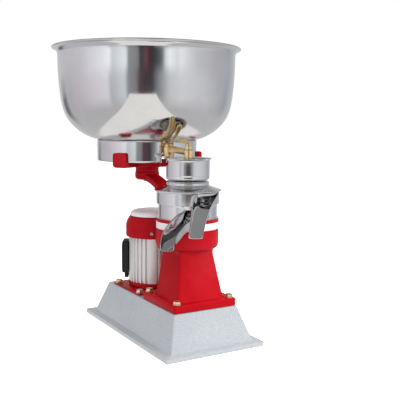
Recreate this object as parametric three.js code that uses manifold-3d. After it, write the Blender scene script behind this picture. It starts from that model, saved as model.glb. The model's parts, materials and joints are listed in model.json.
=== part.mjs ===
import * as THREE from 'three';
import { mergeVertices } from 'three/addons/utils/BufferGeometryUtils.js';
import ManifoldModule from 'manifold-3d';

// Electric cream separator with a milk tank on top. Millimetres, +Z up, standing on Z = 0.
// The separating head stands at the front (-Y), the motor and the tank's axis behind it.

const wasm = await ManifoldModule();
wasm.setup();

// ---------- driving dimensions ----------

const GAP = 0.3;

const BASE_Y = -53.5;
const HEAD_Y = -131;
const ARM_Y = -56;
const MOTOR_Y = 16.5;
const TANK_Y = 47;

const BASE_FLANGE = { halfX: 107.3, halfY: 193.5, top: 8.7, corner: 3 };
const BASE_FOOT = { halfX: 90.5, halfY: 177.2 };
const BASE_TOP = { halfX: 70, halfY: 151.4, z: 75 };
const BASE_CORNER = 4;
const BASE_WALL = 4;

const FLANGE = { halfX: 68.5, halfY: 68, z0: BASE_TOP.z + GAP, z1: 90.8, y: -137 };
const COLUMN = { lowX: 51.2, lowY: 48, lowShift: -8.3, high: 36.3, zHigh: 186, wall: 5 };
const CUP = { radius: 60.9, inner: 56, z0: 184.6, z1: 243.8, floor: 190.5 };
const BOSS = { halfX: 31, yBack: -45.8, z0: 168, z1: 213 };
const BAND = { z0: 225, z1: 238 };

const BOLT = { head: 7.3, headHeight: 5.3, washer: 8.1, washerHeight: 1.6, shank: 4 };
const FRAME_BOLTS = { halfX: 57.5, halfY: 57.5 };
const PLATE_BOLTS = { halfX: 58, halfY: 52 };

const PLATE = { halfX: 66, halfY: 65, z0: BASE_TOP.z + GAP, z1: 78.3 };
const MOTOR = { bore: 44, root: 48, fins: 53, z0: 90.3, z1: 186.7, turn: 60 };
const SHIELD = { radius: 59, shoulder: 50, z0: 187, z1: 231 };
const SHAFT_RADIUS = 7;

const SPINDLE_RADIUS = 6;
const BEARING_RADIUS = 16;
const PULLEY_Z = { z0: 34, z1: 52 };
const DRIVE_PULLEY = 33;
const SPINDLE_PULLEY = 11;
const BELT = { thickness: 2.4, z0: 38.3, z1: 47.7 };

const SPOUT_TURN = -30.8;
const SHEET = 1.2;
const SKIM = { radius: 57.5, z0: 244.1, z1: 272.4 };
const CREAM = { radius: 61.5, z0: 272.7, z1: 297 };
const LID = { radius: 66, z0: 297.3, neck: 41.5 };
const FLOAT_CUP = { radius: 42.7, lip: 47.3, z0: 318.8, z1: 360.8 };

const BRACKET = { plate: 64, z0: 335.5, z1: 346.7, hub: 26, hubZ: 322 };
const LUG_ANGLES = [94, 214, 334];
const LUG_RADIUS = 118;
const SKIRT = { radius: 106.9, z0: 347, z1: 390.9 };
const TANK = { rim: 200, top: 584, floor: 391.3, sheet: 1.5 };

const TAP_TURN = -3.9;
const TAP = { z: 375, plug: 112, nozzle: 205, inlet: 76 };

// ---------- finishes ----------

const FINISH = {
  base: [0xa9afb4, 0.55, 0.45],
  enamel: [0xb3121f, 0.22, 0.1],
  label: [0xf2f0ee, 0.45, 0.0],
  zinc: [0xc9b98a, 0.35, 0.9],
  steel: [0xc9cacb, 0.12, 1.0],
  ground: [0x9fa2a5, 0.3, 1.0],
  brass: [0xc39a5b, 0.28, 1.0],
  aluminium: [0xc4c6c6, 0.5, 0.85],
  cap: [0xd4d4da, 0.4, 0.1],
  black: [0x4b4c4c, 0.55, 0.0],
  rubber: [0x1b1b1c, 0.85, 0.0],
  copper: [0xb06a3c, 0.45, 0.9],
};

const product = new THREE.Group();
product.name = 'cream_separator';

// ---------- helpers ----------

const rad = THREE.MathUtils.degToRad;

function welded(geometry) {
  const bare = geometry.clone();
  bare.deleteAttribute('normal');
  bare.deleteAttribute('uv');
  const merged = mergeVertices(bare, 1e-4);
  const index = merged.index.array;
  const kept = [];
  for (let i = 0; i < index.length; i += 3) {
    const [a, b, c] = [index[i], index[i + 1], index[i + 2]];
    if (a !== b && b !== c && a !== c) kept.push(a, b, c);
  }
  merged.setIndex(kept);
  return merged;
}

function signedVolume(geometry) {
  const p = geometry.attributes.position;
  const index = geometry.index.array;
  const [a, b, c] = [new THREE.Vector3(), new THREE.Vector3(), new THREE.Vector3()];
  let sum = 0;
  for (let i = 0; i < index.length; i += 3) {
    a.fromBufferAttribute(p, index[i]);
    b.fromBufferAttribute(p, index[i + 1]);
    c.fromBufferAttribute(p, index[i + 2]);
    sum += a.dot(b.cross(c)) / 6;
  }
  return sum;
}

function oriented(geometry) {
  const clean = welded(geometry);
  if (signedVolume(clean) >= 0) return clean;
  const flipped = Array.from(clean.index.array);
  for (let i = 0; i < flipped.length; i += 3) {
    [flipped[i + 1], flipped[i + 2]] = [flipped[i + 2], flipped[i + 1]];
  }
  clean.setIndex(flipped);
  return clean;
}

function solid(geometry) {
  const clean = oriented(geometry);
  const mesh = new wasm.Mesh({
    numProp: 3,
    vertProperties: new Float32Array(clean.attributes.position.array),
    triVerts: new Uint32Array(clean.index.array),
  });
  return new wasm.Manifold(mesh);
}

function geometryOf(manifold) {
  const mesh = manifold.getMesh();
  const geometry = new THREE.BufferGeometry();
  geometry.setAttribute('position', new THREE.BufferAttribute(new Float32Array(mesh.vertProperties), 3));
  geometry.setIndex(Array.from(mesh.triVerts));
  return geometry;
}

function join(...pieces) {
  return pieces.reduce((whole, piece) => whole.add(piece));
}

function cut(body, ...tools) {
  return tools.reduce((rest, tool) => rest.subtract(tool), body);
}

function add(name, shape, finish) {
  const geometry = shape.isBufferGeometry ? oriented(shape) : geometryOf(shape);
  geometry.computeVertexNormals();
  const [color, roughness, metalness] = FINISH[finish];
  const mesh = new THREE.Mesh(geometry, new THREE.MeshStandardMaterial({ color, roughness, metalness }));
  mesh.name = name;
  product.add(mesh);
}

// A solid of revolution about a vertical axis through (0, y). The profile lists [radius, z].
function turned(profile, y, segments = 24) {
  const onAxis = profile[0][0] === 0 && profile[profile.length - 1][0] === 0;
  const points = profile.map(([r, z]) => new THREE.Vector2(r, z));
  if (!onAxis) points.push(points[0].clone());
  const geometry = new THREE.LatheGeometry(points, segments);
  geometry.rotateX(Math.PI / 2);
  geometry.translate(0, y, 0);
  return solid(geometry);
}

function rod(radius, z0, z1, x, y, segments = 20) {
  const geometry = new THREE.CylinderGeometry(radius, radius, z1 - z0, segments);
  geometry.rotateX(Math.PI / 2);
  geometry.translate(x, y, (z0 + z1) / 2);
  return solid(geometry);
}

// A bar of round section lying along Y.
function barY(radius, y0, y1, x, z, segments = 16) {
  const geometry = new THREE.CylinderGeometry(radius, radius, y1 - y0, segments);
  geometry.translate(x, (y0 + y1) / 2, z);
  return solid(geometry);
}

function ring(outer, inner, z0, z1, y, segments = 24) {
  return turned([[inner, z0], [outer, z0], [outer, z1], [inner, z1]], y, segments);
}

function block(x0, x1, y0, y1, z0, z1) {
  const geometry = new THREE.BoxGeometry(x1 - x0, y1 - y0, z1 - z0);
  geometry.translate((x0 + x1) / 2, (y0 + y1) / 2, (z0 + z1) / 2);
  return solid(geometry);
}

function prism(outline, z0, z1) {
  const shape = new THREE.Shape(outline.map(([x, y]) => new THREE.Vector2(x, y)));
  const geometry = new THREE.ExtrudeGeometry(shape, { depth: z1 - z0, bevelEnabled: false });
  geometry.translate(0, 0, z0);
  return solid(geometry);
}

// A plate cut to an outline in the YZ plane, with rounded edges, centred on X = 0.
function sidePlate(outline, thickness, bevel) {
  const shape = new THREE.Shape(outline.map(([y, z]) => new THREE.Vector2(y, z)));
  const options = {
    depth: thickness - 2 * bevel,
    bevelEnabled: true,
    bevelThickness: bevel,
    bevelSize: bevel,
    bevelOffset: -bevel,
    bevelSegments: 2,
  };
  const geometry = new THREE.ExtrudeGeometry(shape, options);
  geometry.translate(0, 0, -(thickness - 2 * bevel) / 2);
  geometry.rotateY(Math.PI / 2);
  geometry.rotateX(Math.PI / 2);
  return solid(geometry);
}

function roundedRect(halfX, halfY, radius, y = 0, steps = 3) {
  const points = [];
  const corners = [[1, 1, 0], [-1, 1, 90], [-1, -1, 180], [1, -1, 270]];
  for (const [sx, sy, start] of corners) {
    for (let i = 0; i <= steps; i += 1) {
      const a = rad(start + (90 * i) / steps);
      const px = sx * (halfX - radius) + radius * Math.cos(a);
      const py = sy * (halfY - radius) + radius * Math.sin(a);
      points.push([px, py + y]);
    }
  }
  return points;
}

// A closed solid through a row of sections with the same number of points, capped at both ends.
function loft(sections) {
  const count = sections[0].length;
  const position = sections.flat(2);
  const index = [];
  for (let s = 0; s < sections.length - 1; s += 1) {
    for (let i = 0; i < count; i += 1) {
      const a = s * count + i;
      const b = s * count + ((i + 1) % count);
      index.push(a, b, b + count, a, b + count, a + count);
    }
  }
  const last = (sections.length - 1) * count;
  for (let i = 1; i < count - 1; i += 1) {
    index.push(0, i + 1, i);
    index.push(last, last + i, last + i + 1);
  }
  const geometry = new THREE.BufferGeometry();
  geometry.setAttribute('position', new THREE.Float32BufferAttribute(position, 3));
  geometry.setIndex(index);
  return solid(geometry);
}

function level(outline, z) {
  return outline.map(([x, y]) => [x, y, z]);
}

// A bent rod in a plane of constant X. Each point gives [y, z, half width, half height].
function bentRod(path, sides = 12) {
  const sections = path.map(([y, z, wide, high], i) => {
    const before = path[Math.max(i - 1, 0)];
    const after = path[Math.min(i + 1, path.length - 1)];
    const tangent = new THREE.Vector2(after[0] - before[0], after[1] - before[1]).normalize();
    const points = [];
    for (let k = 0; k < sides; k += 1) {
      const a = (2 * Math.PI * k) / sides;
      const across = high * Math.sin(a);
      points.push([wide * Math.cos(a), y - tangent.y * across, z + tangent.x * across]);
    }
    return points;
  });
  return loft(sections);
}

function hexBolt(x, y, seat, tip) {
  const washer = rod(BOLT.washer, seat, seat + BOLT.washerHeight, x, y, 20);
  const head = rod(BOLT.head, seat + 1, seat + BOLT.washerHeight + BOLT.headHeight, x, y, 6);
  const shank = rod(BOLT.shank, tip, seat + 1, x, y, 12);
  return join(washer, head, shank);
}

function corners({ halfX, halfY }, y) {
  return [[-halfX, y - halfY], [halfX, y - halfY], [-halfX, y + halfY], [halfX, y + halfY]];
}

function turnedAbout(manifold, degrees, y) {
  return manifold.translate([0, -y, 0]).rotate([0, 0, degrees]).translate([0, y, 0]);
}

// ---------- base and frame ----------

const frameBolts = corners(FRAME_BOLTS, FLANGE.y);
const plateBolts = corners(PLATE_BOLTS, MOTOR_Y);

function boltHoles(places, z0, z1) {
  return places.map(([x, y]) => rod(BOLT.shank + GAP, z0, z1, x, y, 12));
}

function makeBase() {
  const foot = loft([
    level(roundedRect(BASE_FLANGE.halfX, BASE_FLANGE.halfY, BASE_FLANGE.corner, BASE_Y), 0),
    level(roundedRect(BASE_FLANGE.halfX, BASE_FLANGE.halfY, BASE_FLANGE.corner, BASE_Y), BASE_FLANGE.top),
  ]);
  const outside = loft([
    level(roundedRect(BASE_FOOT.halfX, BASE_FOOT.halfY, BASE_CORNER, BASE_Y), BASE_FLANGE.top - 1),
    level(roundedRect(BASE_TOP.halfX, BASE_TOP.halfY, BASE_CORNER, BASE_Y), BASE_TOP.z),
  ]);
  const inside = loft([
    level(roundedRect(BASE_FOOT.halfX - 1.5, BASE_FOOT.halfY - 1.5, 2, BASE_Y), -2),
    level(roundedRect(BASE_TOP.halfX - BASE_WALL, BASE_TOP.halfY - BASE_WALL, 2, BASE_Y), BASE_TOP.z - 6),
  ]);
  const holes = [
    rod(24, 60, 80, 0, HEAD_Y),
    rod(20, 60, 80, 0, MOTOR_Y),
    ...boltHoles(frameBolts, 60, 80),
    ...boltHoles(plateBolts, 60, 80),
  ];
  add('base_stand', cut(join(foot, outside), inside, ...holes), 'base');
}

function makeFrame() {
  const flange = loft([
    level(roundedRect(FLANGE.halfX, FLANGE.halfY, 5, FLANGE.y), FLANGE.z0),
    level(roundedRect(FLANGE.halfX, FLANGE.halfY, 5, FLANGE.y), FLANGE.z1 - 3),
    level(roundedRect(FLANGE.halfX - 3, FLANGE.halfY - 3, 4, FLANGE.y), FLANGE.z1),
  ]);
  const column = loft([
    level(roundedRect(COLUMN.lowX, COLUMN.lowY, 7, HEAD_Y + COLUMN.lowShift), FLANGE.z1 - 2),
    level(roundedRect(COLUMN.high, COLUMN.high, 6, HEAD_Y), COLUMN.zHigh),
  ]);
  const { wall } = COLUMN;
  const hollow = loft([
    level(roundedRect(COLUMN.lowX - wall, COLUMN.lowY - wall, 4, HEAD_Y + COLUMN.lowShift), FLANGE.z0 - 2),
    level(roundedRect(COLUMN.high - wall, COLUMN.high - wall, 4, HEAD_Y), COLUMN.zHigh - 4),
  ]);
  const cup = turned([
    [0, CUP.z0], [52, CUP.z0], [58.5, CUP.z0 + 3], [CUP.radius, CUP.z0 + 10],
    [CUP.radius, CUP.z1], [CUP.inner, CUP.z1], [CUP.inner, CUP.floor], [0, CUP.floor],
  ], HEAD_Y, 36);
  const boss = loft([
    [[-22, HEAD_Y + 40, BOSS.z0 - 4], [22, HEAD_Y + 40, BOSS.z0 - 4],
      [22, BOSS.yBack - 6, BOSS.z0 + 8], [-22, BOSS.yBack - 6, BOSS.z0 + 8]],
    [[-BOSS.halfX, HEAD_Y + 30, BOSS.z0 + 20], [BOSS.halfX, HEAD_Y + 30, BOSS.z0 + 20],
      [BOSS.halfX - 3, BOSS.yBack, BOSS.z0 + 20], [3 - BOSS.halfX, BOSS.yBack, BOSS.z0 + 20]],
    [[-BOSS.halfX, HEAD_Y + 30, BOSS.z1], [BOSS.halfX, HEAD_Y + 30, BOSS.z1],
      [BOSS.halfX - 3, BOSS.yBack, BOSS.z1], [3 - BOSS.halfX, BOSS.yBack, BOSS.z1]],
  ]);
  const socket = block(-15 - GAP, 15 + GAP, ARM_Y - 6.5 - GAP, ARM_Y + 6.5 + GAP, 182, BOSS.z1 + 5);
  const cupSpace = rod(CUP.inner, CUP.floor, CUP.z1 + 5, 0, HEAD_Y, 36);
  const bearingTube = rod(21, 100, CUP.floor, 0, HEAD_Y, 24);
  const bore = rod(BEARING_RADIUS + GAP, 98, 178, 0, HEAD_Y, 24);
  const spindleHole = rod(10, 170, 200, 0, HEAD_Y, 24);
  const screwHole = rod(3 + GAP, 10, 40, 0, 0, 12).rotate([0, 90, 0]).translate([0, ARM_Y, 199]);
  const outer = join(flange, cut(column, hollow), cup);
  const shell = cut(outer, hollow);
  const body = cut(join(shell, cut(boss, cupSpace), bearingTube), cupSpace, bore, spindleHole, socket);
  add('frame_casting', cut(body, screwHole, ...boltHoles(frameBolts, 70, 95)), 'enamel');
  add('label_band', ring(CUP.radius + 0.75, CUP.radius + 0.2, BAND.z0, BAND.z1, HEAD_Y, 36), 'label');
}

function makeBolts() {
  frameBolts.forEach(([x, y], i) => {
    add(`frame_bolt_${i + 1}`, hexBolt(x, y, FLANGE.z1 + 0.1, BASE_TOP.z - 6), 'zinc');
  });
  plateBolts.forEach(([x, y], i) => {
    add(`motor_bolt_${i + 1}`, hexBolt(x, y, PLATE.z1 + 0.1, BASE_TOP.z - 6), 'zinc');
  });
}

// ---------- bracket that carries the tank ----------

function armOutline() {
  const centre = [
    [ARM_Y, 183], [ARM_Y, 252], [ARM_Y + 4, 268], [ARM_Y + 15, 284],
    [ARM_Y + 33, 296.5], [ARM_Y + 56, 305.5], [ARM_Y + 80, 312], [TANK_Y + 4, 313.5],
  ];
  const half = [6.5, 6.5, 7.5, 8, 8, 7.5, 7.5, 7.5];
  const sides = [[], []];
  centre.forEach(([y, z], i) => {
    const before = centre[Math.max(i - 1, 0)];
    const after = centre[Math.min(i + 1, centre.length - 1)];
    const t = new THREE.Vector2(after[0] - before[0], after[1] - before[1]).normalize();
    sides[0].push([y + t.y * half[i], z - t.x * half[i]]);
    sides[1].push([y - t.y * half[i], z + t.x * half[i]]);
  });
  return [...sides[0], ...sides[1].reverse()];
}

function makeBracket() {
  const arm = sidePlate(armOutline(), 30, 3);
  const collar = turned([
    [0, 305], [BRACKET.hub - 4, 305], [BRACKET.hub, 309],
    [BRACKET.hub, BRACKET.hubZ - GAP], [0, BRACKET.hubZ - GAP],
  ], TANK_Y);
  const boltHole = rod(6 + GAP, 300, 350, 0, TANK_Y);
  add('bracket_arm', cut(join(arm, collar), boltHole), 'enamel');

  const hub = turned([
    [0, BRACKET.hubZ], [BRACKET.hub - 1, BRACKET.hubZ], [BRACKET.hub - 1, BRACKET.z0],
    [BRACKET.plate - 2, BRACKET.z0], [BRACKET.plate, BRACKET.z0 + 2],
    [BRACKET.plate, BRACKET.z1], [0, BRACKET.z1],
  ], TANK_Y, 32);
  const pieces = [hub];
  for (const angle of LUG_ANGLES) {
    const spoke = block(40, 100, TANK_Y - 13, TANK_Y + 13, BRACKET.z0, BRACKET.z1);
    const shelf = loft([
      [[96, TANK_Y - 12, BRACKET.z0], [110, TANK_Y - 12, BRACKET.z0],
        [110, TANK_Y + 12, BRACKET.z0], [96, TANK_Y + 12, BRACKET.z0]],
      [[96, TANK_Y - 14.5, BRACKET.z0 + 6], [LUG_RADIUS, TANK_Y - 14.5, BRACKET.z0 + 6],
        [LUG_RADIUS, TANK_Y + 14.5, BRACKET.z0 + 6], [96, TANK_Y + 14.5, BRACKET.z0 + 6]],
      [[96, TANK_Y - 14.5, BRACKET.z1], [LUG_RADIUS, TANK_Y - 14.5, BRACKET.z1],
        [LUG_RADIUS, TANK_Y + 14.5, BRACKET.z1], [96, TANK_Y + 14.5, BRACKET.z1]],
    ]);
    const tab = loft([
      [[107.6, TANK_Y - 14.5, 346], [LUG_RADIUS, TANK_Y - 14.5, 346],
        [LUG_RADIUS, TANK_Y + 14.5, 346], [107.6, TANK_Y + 14.5, 346]],
      [[107.6, TANK_Y - 14.5, 361], [LUG_RADIUS, TANK_Y - 14.5, 361],
        [LUG_RADIUS, TANK_Y + 14.5, 361], [107.6, TANK_Y + 14.5, 361]],
      [[107.6, TANK_Y - 11.5, 366], [LUG_RADIUS - 1, TANK_Y - 11.5, 366],
        [LUG_RADIUS - 1, TANK_Y + 11.5, 366], [107.6, TANK_Y + 11.5, 366]],
    ]);
    pieces.push(turnedAbout(join(spoke, shelf, tab), angle, TANK_Y));
  }
  add('tank_bracket', cut(join(...pieces), rod(6 + GAP, 315, 341, 0, TANK_Y)), 'enamel');

  const head = rod(8, 301, 304.7, 0, TANK_Y, 6);
  add('hub_bolt', join(head, rod(6, 304, 340, 0, TANK_Y)), 'ground');
  const screwHead = rod(5.5, BOSS.halfX + 0.3, BOSS.halfX + 4.3, 0, 0, 6);
  const screwShank = rod(3, 15 + GAP, BOSS.halfX + 1, 0, 0, 12);
  add('arm_screw', join(screwHead, screwShank).rotate([0, 90, 0]).translate([0, ARM_Y, 199]), 'ground');
}

// ---------- spindle, bowl and discs ----------

function bearing(name, y, shaft, outer, z0, z1) {
  const inner = shaft + 0.15;
  add(name, turned([
    [inner, z0], [outer - 1, z0], [outer, z0 + 1],
    [outer, z1 - 1], [outer - 1, z1], [inner, z1],
  ], y, 20), 'ground');
}

function pulley(name, y, bore, radius) {
  const { z0, z1 } = PULLEY_Z;
  add(name, turned([
    [bore, z0], [radius + 2.5, z0], [radius + 2.5, z0 + 3], [radius, z0 + 4],
    [radius, z1 - 4], [radius + 2.5, z1 - 3], [radius + 2.5, z1], [bore, z1],
  ], y, 24), 'aluminium');
}

function makeSpindle() {
  add('spindle', turned([
    [0, 30], [SPINDLE_RADIUS, 30], [SPINDLE_RADIUS, 192], [4.6, 193], [4.6, 216], [0, 216],
  ], HEAD_Y, 20), 'ground');
  bearing('spindle_bearing_low', HEAD_Y, SPINDLE_RADIUS, BEARING_RADIUS, 104, 116);
  bearing('spindle_bearing_high', HEAD_Y, SPINDLE_RADIUS, BEARING_RADIUS, 165, 177);
  pulley('spindle_pulley', HEAD_Y, SPINDLE_RADIUS + 0.2, SPINDLE_PULLEY);
}

function conicalShell(foot, top, z0, z1, lip, sheet) {
  return [
    [foot, z0], [foot + lip, z0], [foot + lip, z0 + sheet], [foot, z0 + sheet],
    [top + sheet, z1], [top, z1],
  ];
}

function makeBowl() {
  add('bowl_body', turned([
    [5, 193.6], [16, 193.6], [22, 199], [43, 201], [46, 205], [46, 236], [42.2, 236],
    [42.2, 208], [38, 205.5], [11, 204], [9, 206], [9, 213], [5, 213],
  ], HEAD_Y, 24), 'steel');
  add('bowl_seal', ring(45, 42.6, 236.3, 238.2, HEAD_Y, 24), 'rubber');
  add('bowl_hood', turned([
    [41.5, 238.5], [46, 238.5], [46, 242], [42, 246], [26, 262], [24, 266], [17, 268],
    [17, 290], [12.5, 290], [12.5, 265], [20.5, 262.5], [38.5, 244.5], [41.5, 243],
  ], HEAD_Y, 24), 'steel');
  add('distributor', turned([
    [9.4, 206.4], [24, 206.4], [38, 209.5], [38, 211], [24, 209.5], [11, 222],
    [9.5, 258], [7.2, 258], [7.2, 216.6], [9.4, 216.6],
  ], HEAD_Y, 20), 'steel');
  for (let i = 0; i < 3; i += 1) {
    const z = 213.5 + 7 * i;
    add(`disc_${i + 1}`, turned(conicalShell(36, 14, z, z + 22, 2, 1), HEAD_Y, 20), 'steel');
  }
  add('bowl_nut', turned([
    [17.3, 268.6], [21, 268.6], [21, 272], [17.3, 272],
  ], HEAD_Y, 24), 'ground');
}

// ---------- collecting covers, lid and float ----------

// One station across an open trough: the plan position of each wall, the floor and the two wall tops.
function troughSolid(stations, grow, raise) {
  const sections = stations.map(({ left, right, floor, tops }) => {
    const [lu, lv] = left;
    const [ru, rv] = right;
    const low = floor - grow;
    return [
      [lu - grow, -lv, low], [ru + grow, -rv, low],
      [ru + grow, -rv, tops[1] + raise], [lu - grow, -lv, tops[0] + raise],
    ];
  });
  return loft(sections).rotate([0, 0, SPOUT_TURN]).translate([0, HEAD_Y, 0]);
}

function beyondTip(stations) {
  const a = stations[stations.length - 2];
  const b = stations[stations.length - 1];
  const step = (from, to) => to + (to - from) * 0.15;
  return {
    left: [step(a.left[0], b.left[0]), step(a.left[1], b.left[1])],
    right: [step(a.right[0], b.right[0]), step(a.right[1], b.right[1])],
    floor: step(a.floor, b.floor),
    tops: b.tops,
  };
}

// The window in a pan's wall behind its spout, between two places on the wall.
function mouthCut(spec, { left, right, z0, z1 }) {
  const corner = ([u, v], scale, z) => [u * scale, -v * scale, z];
  const faces = [z0, z1].map((z) => [
    corner(left, 0.8, z), corner(right, 0.8, z), corner(right, 1.4, z), corner(left, 1.4, z),
  ]);
  const wedge = loft(faces).rotate([0, 0, SPOUT_TURN]).translate([0, HEAD_Y, 0]);
  return wedge.intersect(rod(spec.radius + 0.01, z0 - 5, z1 + 5, 0, HEAD_Y, 36));
}

function coverWithSpout(cover, spec, stations, mouth) {
  const wall = rod(spec.radius - 0.2, spec.z0 - 60, spec.z1 + 40, 0, HEAD_Y, 36);
  const room = rod(spec.radius, spec.z0 - 60, spec.z1 + 60, 0, HEAD_Y, 36);
  const outside = troughSolid(stations, SHEET, 0).subtract(wall);
  const inside = troughSolid([...stations, beyondTip(stations)], 0, 40).subtract(room);
  return cut(join(cover, outside), inside, mouthCut(spec, mouth));
}

function makeCovers() {
  const skimPan = turned([
    [47.6, SKIM.z0], [60, SKIM.z0], [60, SKIM.z0 + 1.2], [SKIM.radius, SKIM.z0 + 1.2],
    [SKIM.radius, SKIM.z1], [SKIM.radius - SHEET, SKIM.z1], [SKIM.radius - SHEET, SKIM.z0 + SHEET],
    [48.5, SKIM.z0 + SHEET], [47.2, 254], [46, 254], [47.3, SKIM.z0 + SHEET],
  ], HEAD_Y, 36);
  const skimSpout = [
    { left: [-2, 50], right: [43, 30], floor: 246.4, tops: [264, 262] },
    { left: [-4.5, 65.5], right: [37, 54], floor: 245.9, tops: [264, 262] },
    { left: [-17, 78], right: [3, 73], floor: 227, tops: [260, 246] },
    { left: [-30.5, 88], right: [-10, 87], floor: 215, tops: [247, 234] },
    { left: [-43, 99], right: [-19, 98], floor: 205.5, tops: [230, 222] },
    { left: [-47, 109], right: [-23, 109], floor: 197.5, tops: [209, 208] },
  ];
  const skimMouth = { left: [-3.2, 57.4], right: [40.2, 41.1], z0: 246.5, z1: 263 };
  add('skim_milk_cover', coverWithSpout(skimPan, SKIM, skimSpout, skimMouth), 'steel');

  const creamPan = turned([
    [26, CREAM.z0], [CREAM.radius, CREAM.z0], [CREAM.radius, CREAM.z1],
    [CREAM.radius - SHEET, CREAM.z1], [CREAM.radius - SHEET, CREAM.z0 + SHEET],
    [27.5, CREAM.z0 + SHEET], [25, 283], [23.8, 283],
  ], HEAD_Y, 36);
  const creamSpout = [
    { left: [20, 48], right: [60, -4], floor: 274, tops: [296, 296] },
    { left: [19, 64], right: [58, 26], floor: 273.2, tops: [295.5, 293] },
    { left: [12.5, 76], right: [44, 60], floor: 266, tops: [287, 273] },
    { left: [7.5, 90], right: [35, 84], floor: 243, tops: [256, 250] },
    { left: [4.5, 104], right: [29, 103], floor: 220, tops: [224, 223] },
  ];
  const creamMouth = { left: [19.6, 58.3], right: [58.8, 18], z0: 274.2, z1: 290 };
  add('cream_cover', coverWithSpout(creamPan, CREAM, creamSpout, creamMouth), 'steel');

  add('cover_lid', turned([
    [LID.radius, LID.z0], [LID.radius, LID.z0 + 2.6], [43, 306.8], [LID.neck + 0.4, 311],
    [LID.neck - 1, 316], [38, 317.6], [14, 317.6], [14, 316.2], [37, 316.2],
    [LID.neck - 1.4, 311], [LID.neck - 0.6, 305.6], [LID.radius - 3, LID.z0],
  ], HEAD_Y, 36), 'steel');

  const inner = FLOAT_CUP.radius - SHEET;
  add('float_chamber', turned([
    [5.2, FLOAT_CUP.z0], [39, FLOAT_CUP.z0], [FLOAT_CUP.radius, FLOAT_CUP.z0 + 4],
    [FLOAT_CUP.radius, FLOAT_CUP.z1 - 3], [FLOAT_CUP.lip, FLOAT_CUP.z1 - 0.8],
    [FLOAT_CUP.lip, FLOAT_CUP.z1],
    [inner, FLOAT_CUP.z1 - 2], [inner, FLOAT_CUP.z0 + 4.4], [38.4, FLOAT_CUP.z0 + SHEET],
    [4, FLOAT_CUP.z0 + SHEET], [4, 290], [5.2, 290],
  ], HEAD_Y, 36), 'steel');
  add('float', turned([
    [0, 328], [29, 328], [33, 324], [34, 324], [34, 331], [30, 335], [4, 338], [3, 346], [0, 346],
  ], HEAD_Y, 36), 'steel');
}

// ---------- milk tank and tap ----------

function makeTank() {
  const outer = [
    [0, TANK.floor], [100, TANK.floor], [112, 393.6], [126, 398.8], [141, 407.2], [156, 419.4],
    [168, 434], [175.5, 449], [181, 470], [184.6, 498], [187, 530], [188, 566], [192, 577.6],
    [198.6, 580.2], [TANK.rim, 582], [198.6, TANK.top], [196.2, TANK.top],
  ];
  const inner = [
    [190.4, 578.4], [186.5, 566], [185.5, 530], [183.1, 498.2], [179.5, 470.4], [174.1, 449.6],
    [166.8, 435], [155, 420.6], [140.2, 408.6], [125.4, 400.2], [111.6, 395.1],
    [100, TANK.floor + TANK.sheet],
  ];
  const profile = [...outer, ...inner, [0, TANK.floor + TANK.sheet]];
  const outlet = rod(5, 380, 400, 0, TANK_Y - TAP.inlet, 20);
  const tank = turned(profile, TANK_Y, 48);
  add('milk_tank', cut(tank, turnedAbout(outlet, TAP_TURN, TANK_Y)), 'steel');

  const skirt = turned([
    [SKIRT.radius - SHEET, SKIRT.z0], [SKIRT.radius, SKIRT.z0],
    [SKIRT.radius, SKIRT.z1], [SKIRT.radius - SHEET, SKIRT.z1],
  ], TANK_Y, 48);
  const arch = block(-12.5, 12.5, TANK_Y - 115, TANK_Y - 95, SKIRT.z0 - 2, SKIRT.z1 + 2);
  add('tank_skirt', cut(skirt, turnedAbout(arch, TAP_TURN, TANK_Y)), 'steel');
}

// The tap is drawn pointing straight to the front, then turned with the tank.
function addTapPiece(name, manifold, finish) {
  add(name, turnedAbout(manifold, TAP_TURN, TANK_Y), finish);
}

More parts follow.
